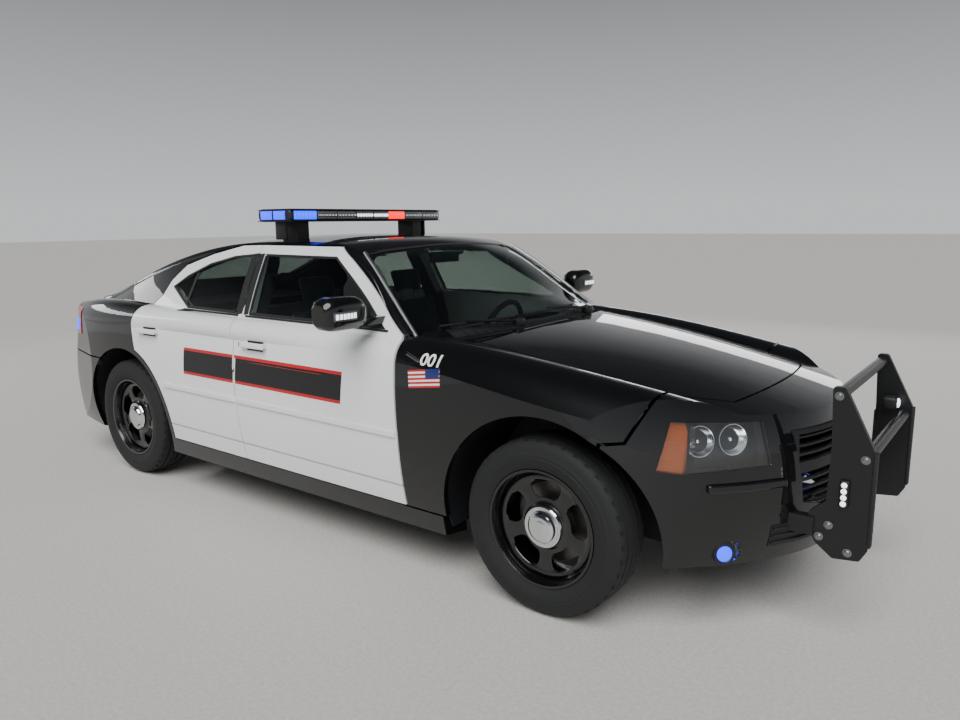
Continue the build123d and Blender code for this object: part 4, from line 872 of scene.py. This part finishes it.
for side, sign in SIDES:
    for end, x_low, x_high in (("front", -0.18, 0.42), ("rear", -0.98, -0.56)):
        door = f"{end}_door_{side}"
        settled(rounded_box((x_low, sign * 0.8275, 0.66), (x_high, sign * 0.786, 0.712), 0.014),
                f"armrest_{end}_{side}", cabin_skin, door)
        settled(rounded_box((x_high - 0.06, sign * 0.8275, 0.8), (x_high + 0.04, sign * 0.812, 0.822), 0.005),
                f"inner_handle_{end}_{side}", chrome, door)


# Seats: foam cushions in dark woven cloth with sewn channels, on steel bases bolted
# to the floor; each pad is blown up as cloth over its foam shape.
def padded_form(outline, y_low, y_high, seams, cap):
    """An outline in x and z extruded across, rounded, swelled as cloth by up to cap and sewn at the seams."""
    pad = drawn([Vector((x, y_low, z)) for x, z in outline])
    bpy.ops.mesh.edge_face_add()
    bpy.ops.mesh.extrude_region_move(TRANSFORM_OT_translate={"value": (0, y_high - y_low, 0)})
    bpy.ops.mesh.select_all(action="SELECT")
    bpy.ops.mesh.normals_make_consistent(inside=False)
    bpy.ops.object.mode_set(mode="OBJECT")
    eased(pad, 0.022, 3)
    applied(pad, "REMESH", mode="VOXEL", voxel_size=0.012)
    rest_places = [vertex.co.copy() for vertex in pad.data.vertices]
    cloth = pad.modifiers.new("cloth", "CLOTH")
    cloth.settings.use_pressure = True
    cloth.settings.uniform_pressure_force = 4
    cloth.settings.effector_weights.gravity = 0
    for frame_number in range(1, 21):
        bpy.context.scene.frame_set(frame_number)
    bpy.context.view_layer.objects.active = pad
    bpy.ops.object.modifier_apply(modifier="cloth")
    bpy.context.scene.frame_set(1)
    seam_reach = 0.018
    for vertex, start in zip(pad.data.vertices, rest_places):
        moved = vertex.co - start
        if moved.length > cap:
            vertex.co = start + moved.normalized() * cap
        near = min([abs(vertex.co.y - seam) for seam in seams], default=1.0)
        if near < seam_reach:
            vertex.co -= vertex.normal * 0.008 * (1 - near / seam_reach)
    applied(pad, "SMOOTH", factor=0.5, iterations=4)
    return pad


# Woven polyester seat cloth, IOR 1.5: charcoal yarn 1.2 mm apart, drawn at 3 mm so
# that the weave shows, with a soft sheen along its folds
seat_cloth, shader, place = finish_of("woven_seat_cloth", {"Roughness": 0.9, "IOR": 1.5, "Sheen Weight": 0.3})
warp = node(seat_cloth, "ShaderNodeTexWave", {"Vector": place, "Scale": 105}, bands_direction="Y")
weft = node(seat_cloth, "ShaderNodeTexWave", {"Vector": place, "Scale": 105}, bands_direction="DIAGONAL")
weave = node(seat_cloth, "ShaderNodeMath", {
    0: warp.outputs["Fac"], 1: weft.outputs["Fac"]}, operation="MAXIMUM")
relief = node(seat_cloth, "ShaderNodeBump", {"Height": weave.outputs["Value"], "Distance": 0.0006})
seat_cloth.node_tree.links.new(relief.outputs["Normal"], shader.inputs["Normal"])
yarn = shaded(seat_cloth, weave.outputs["Value"], (0.0, "#1B1C20"), (1.0, "#34363C"))
seat_cloth.node_tree.links.new(yarn, shader.inputs["Base Color"])
front_forms = {
    "cushion": ([(-0.215, 0.412), (0.285, 0.412), (0.315, 0.512), (0.28, 0.55), (-0.19, 0.508)], 0.238,
                (-0.15, 0.15)),
    "back": ([(-0.19, 0.54), (-0.104, 0.548), (-0.268, 1.075), (-0.33, 1.085), (-0.318, 0.89)], 0.228,
             (-0.14, 0.14)),
    "headrest": ([(-0.285, 1.11), (-0.332, 1.116), (-0.374, 1.258), (-0.31, 1.263)], 0.12, ()),
}
seat_middle = 0.37
for name, (outline, half_width, seams) in front_forms.items():
    right_pad = padded_form(outline, -seat_middle - half_width, -seat_middle + half_width,
                            [-seat_middle + seam for seam in seams], 0.016)
    left_pad = copied(right_pad)
    left_pad.location = (0, 2 * seat_middle, 0)
    for side, pad in (("right", right_pad), ("left", left_pad)):
        settled(pad, f"front_seat_{name}_{side}", seat_cloth, angle=60)
for side, sign in SIDES:
    base = rounded_box((-0.18, sign * seat_middle - 0.19, 0.2355), (0.25, sign * seat_middle + 0.19, 0.404),
                       0.012)
    settled(base, f"front_seat_base_{side}", powder_coat)
    for part, y in (("a", -0.055), ("b", 0.055)):
        post = rod([(-0.295, sign * seat_middle + y, 1.06), (-0.306, sign * seat_middle + y, 1.095),
                    (-0.318, sign * seat_middle + y, 1.13)], 0.006)
        settled(post, f"headrest_post_{part}_{side}", chrome)
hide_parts("front_seats")
rear_cushion = padded_form([(-1.155, 0.41), (-0.635, 0.41), (-0.615, 0.515), (-0.665, 0.545), (-1.15, 0.49)],
                           -0.535, 0.535, (-0.18, 0.18), 0.014)
rear_back = padded_form([(-1.158, 0.52), (-1.056, 0.528), (-1.192, 1.022), (-1.275, 1.022)], -0.518, 0.518,
                        (-0.18, 0.18), 0.014)
for name, pad in (("rear_seat_cushion", rear_cushion), ("rear_seat_back", rear_back)):
    settled(pad, name, seat_cloth, angle=60)
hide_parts("rear_seat")
for side, sign in SIDES:
    settled(rounded_box((-1.17, sign * 0.355 - 0.19, 0.2355), (-0.64, sign * 0.355 + 0.19, 0.412), 0.012),
            f"rear_seat_riser_{side}", powder_coat)
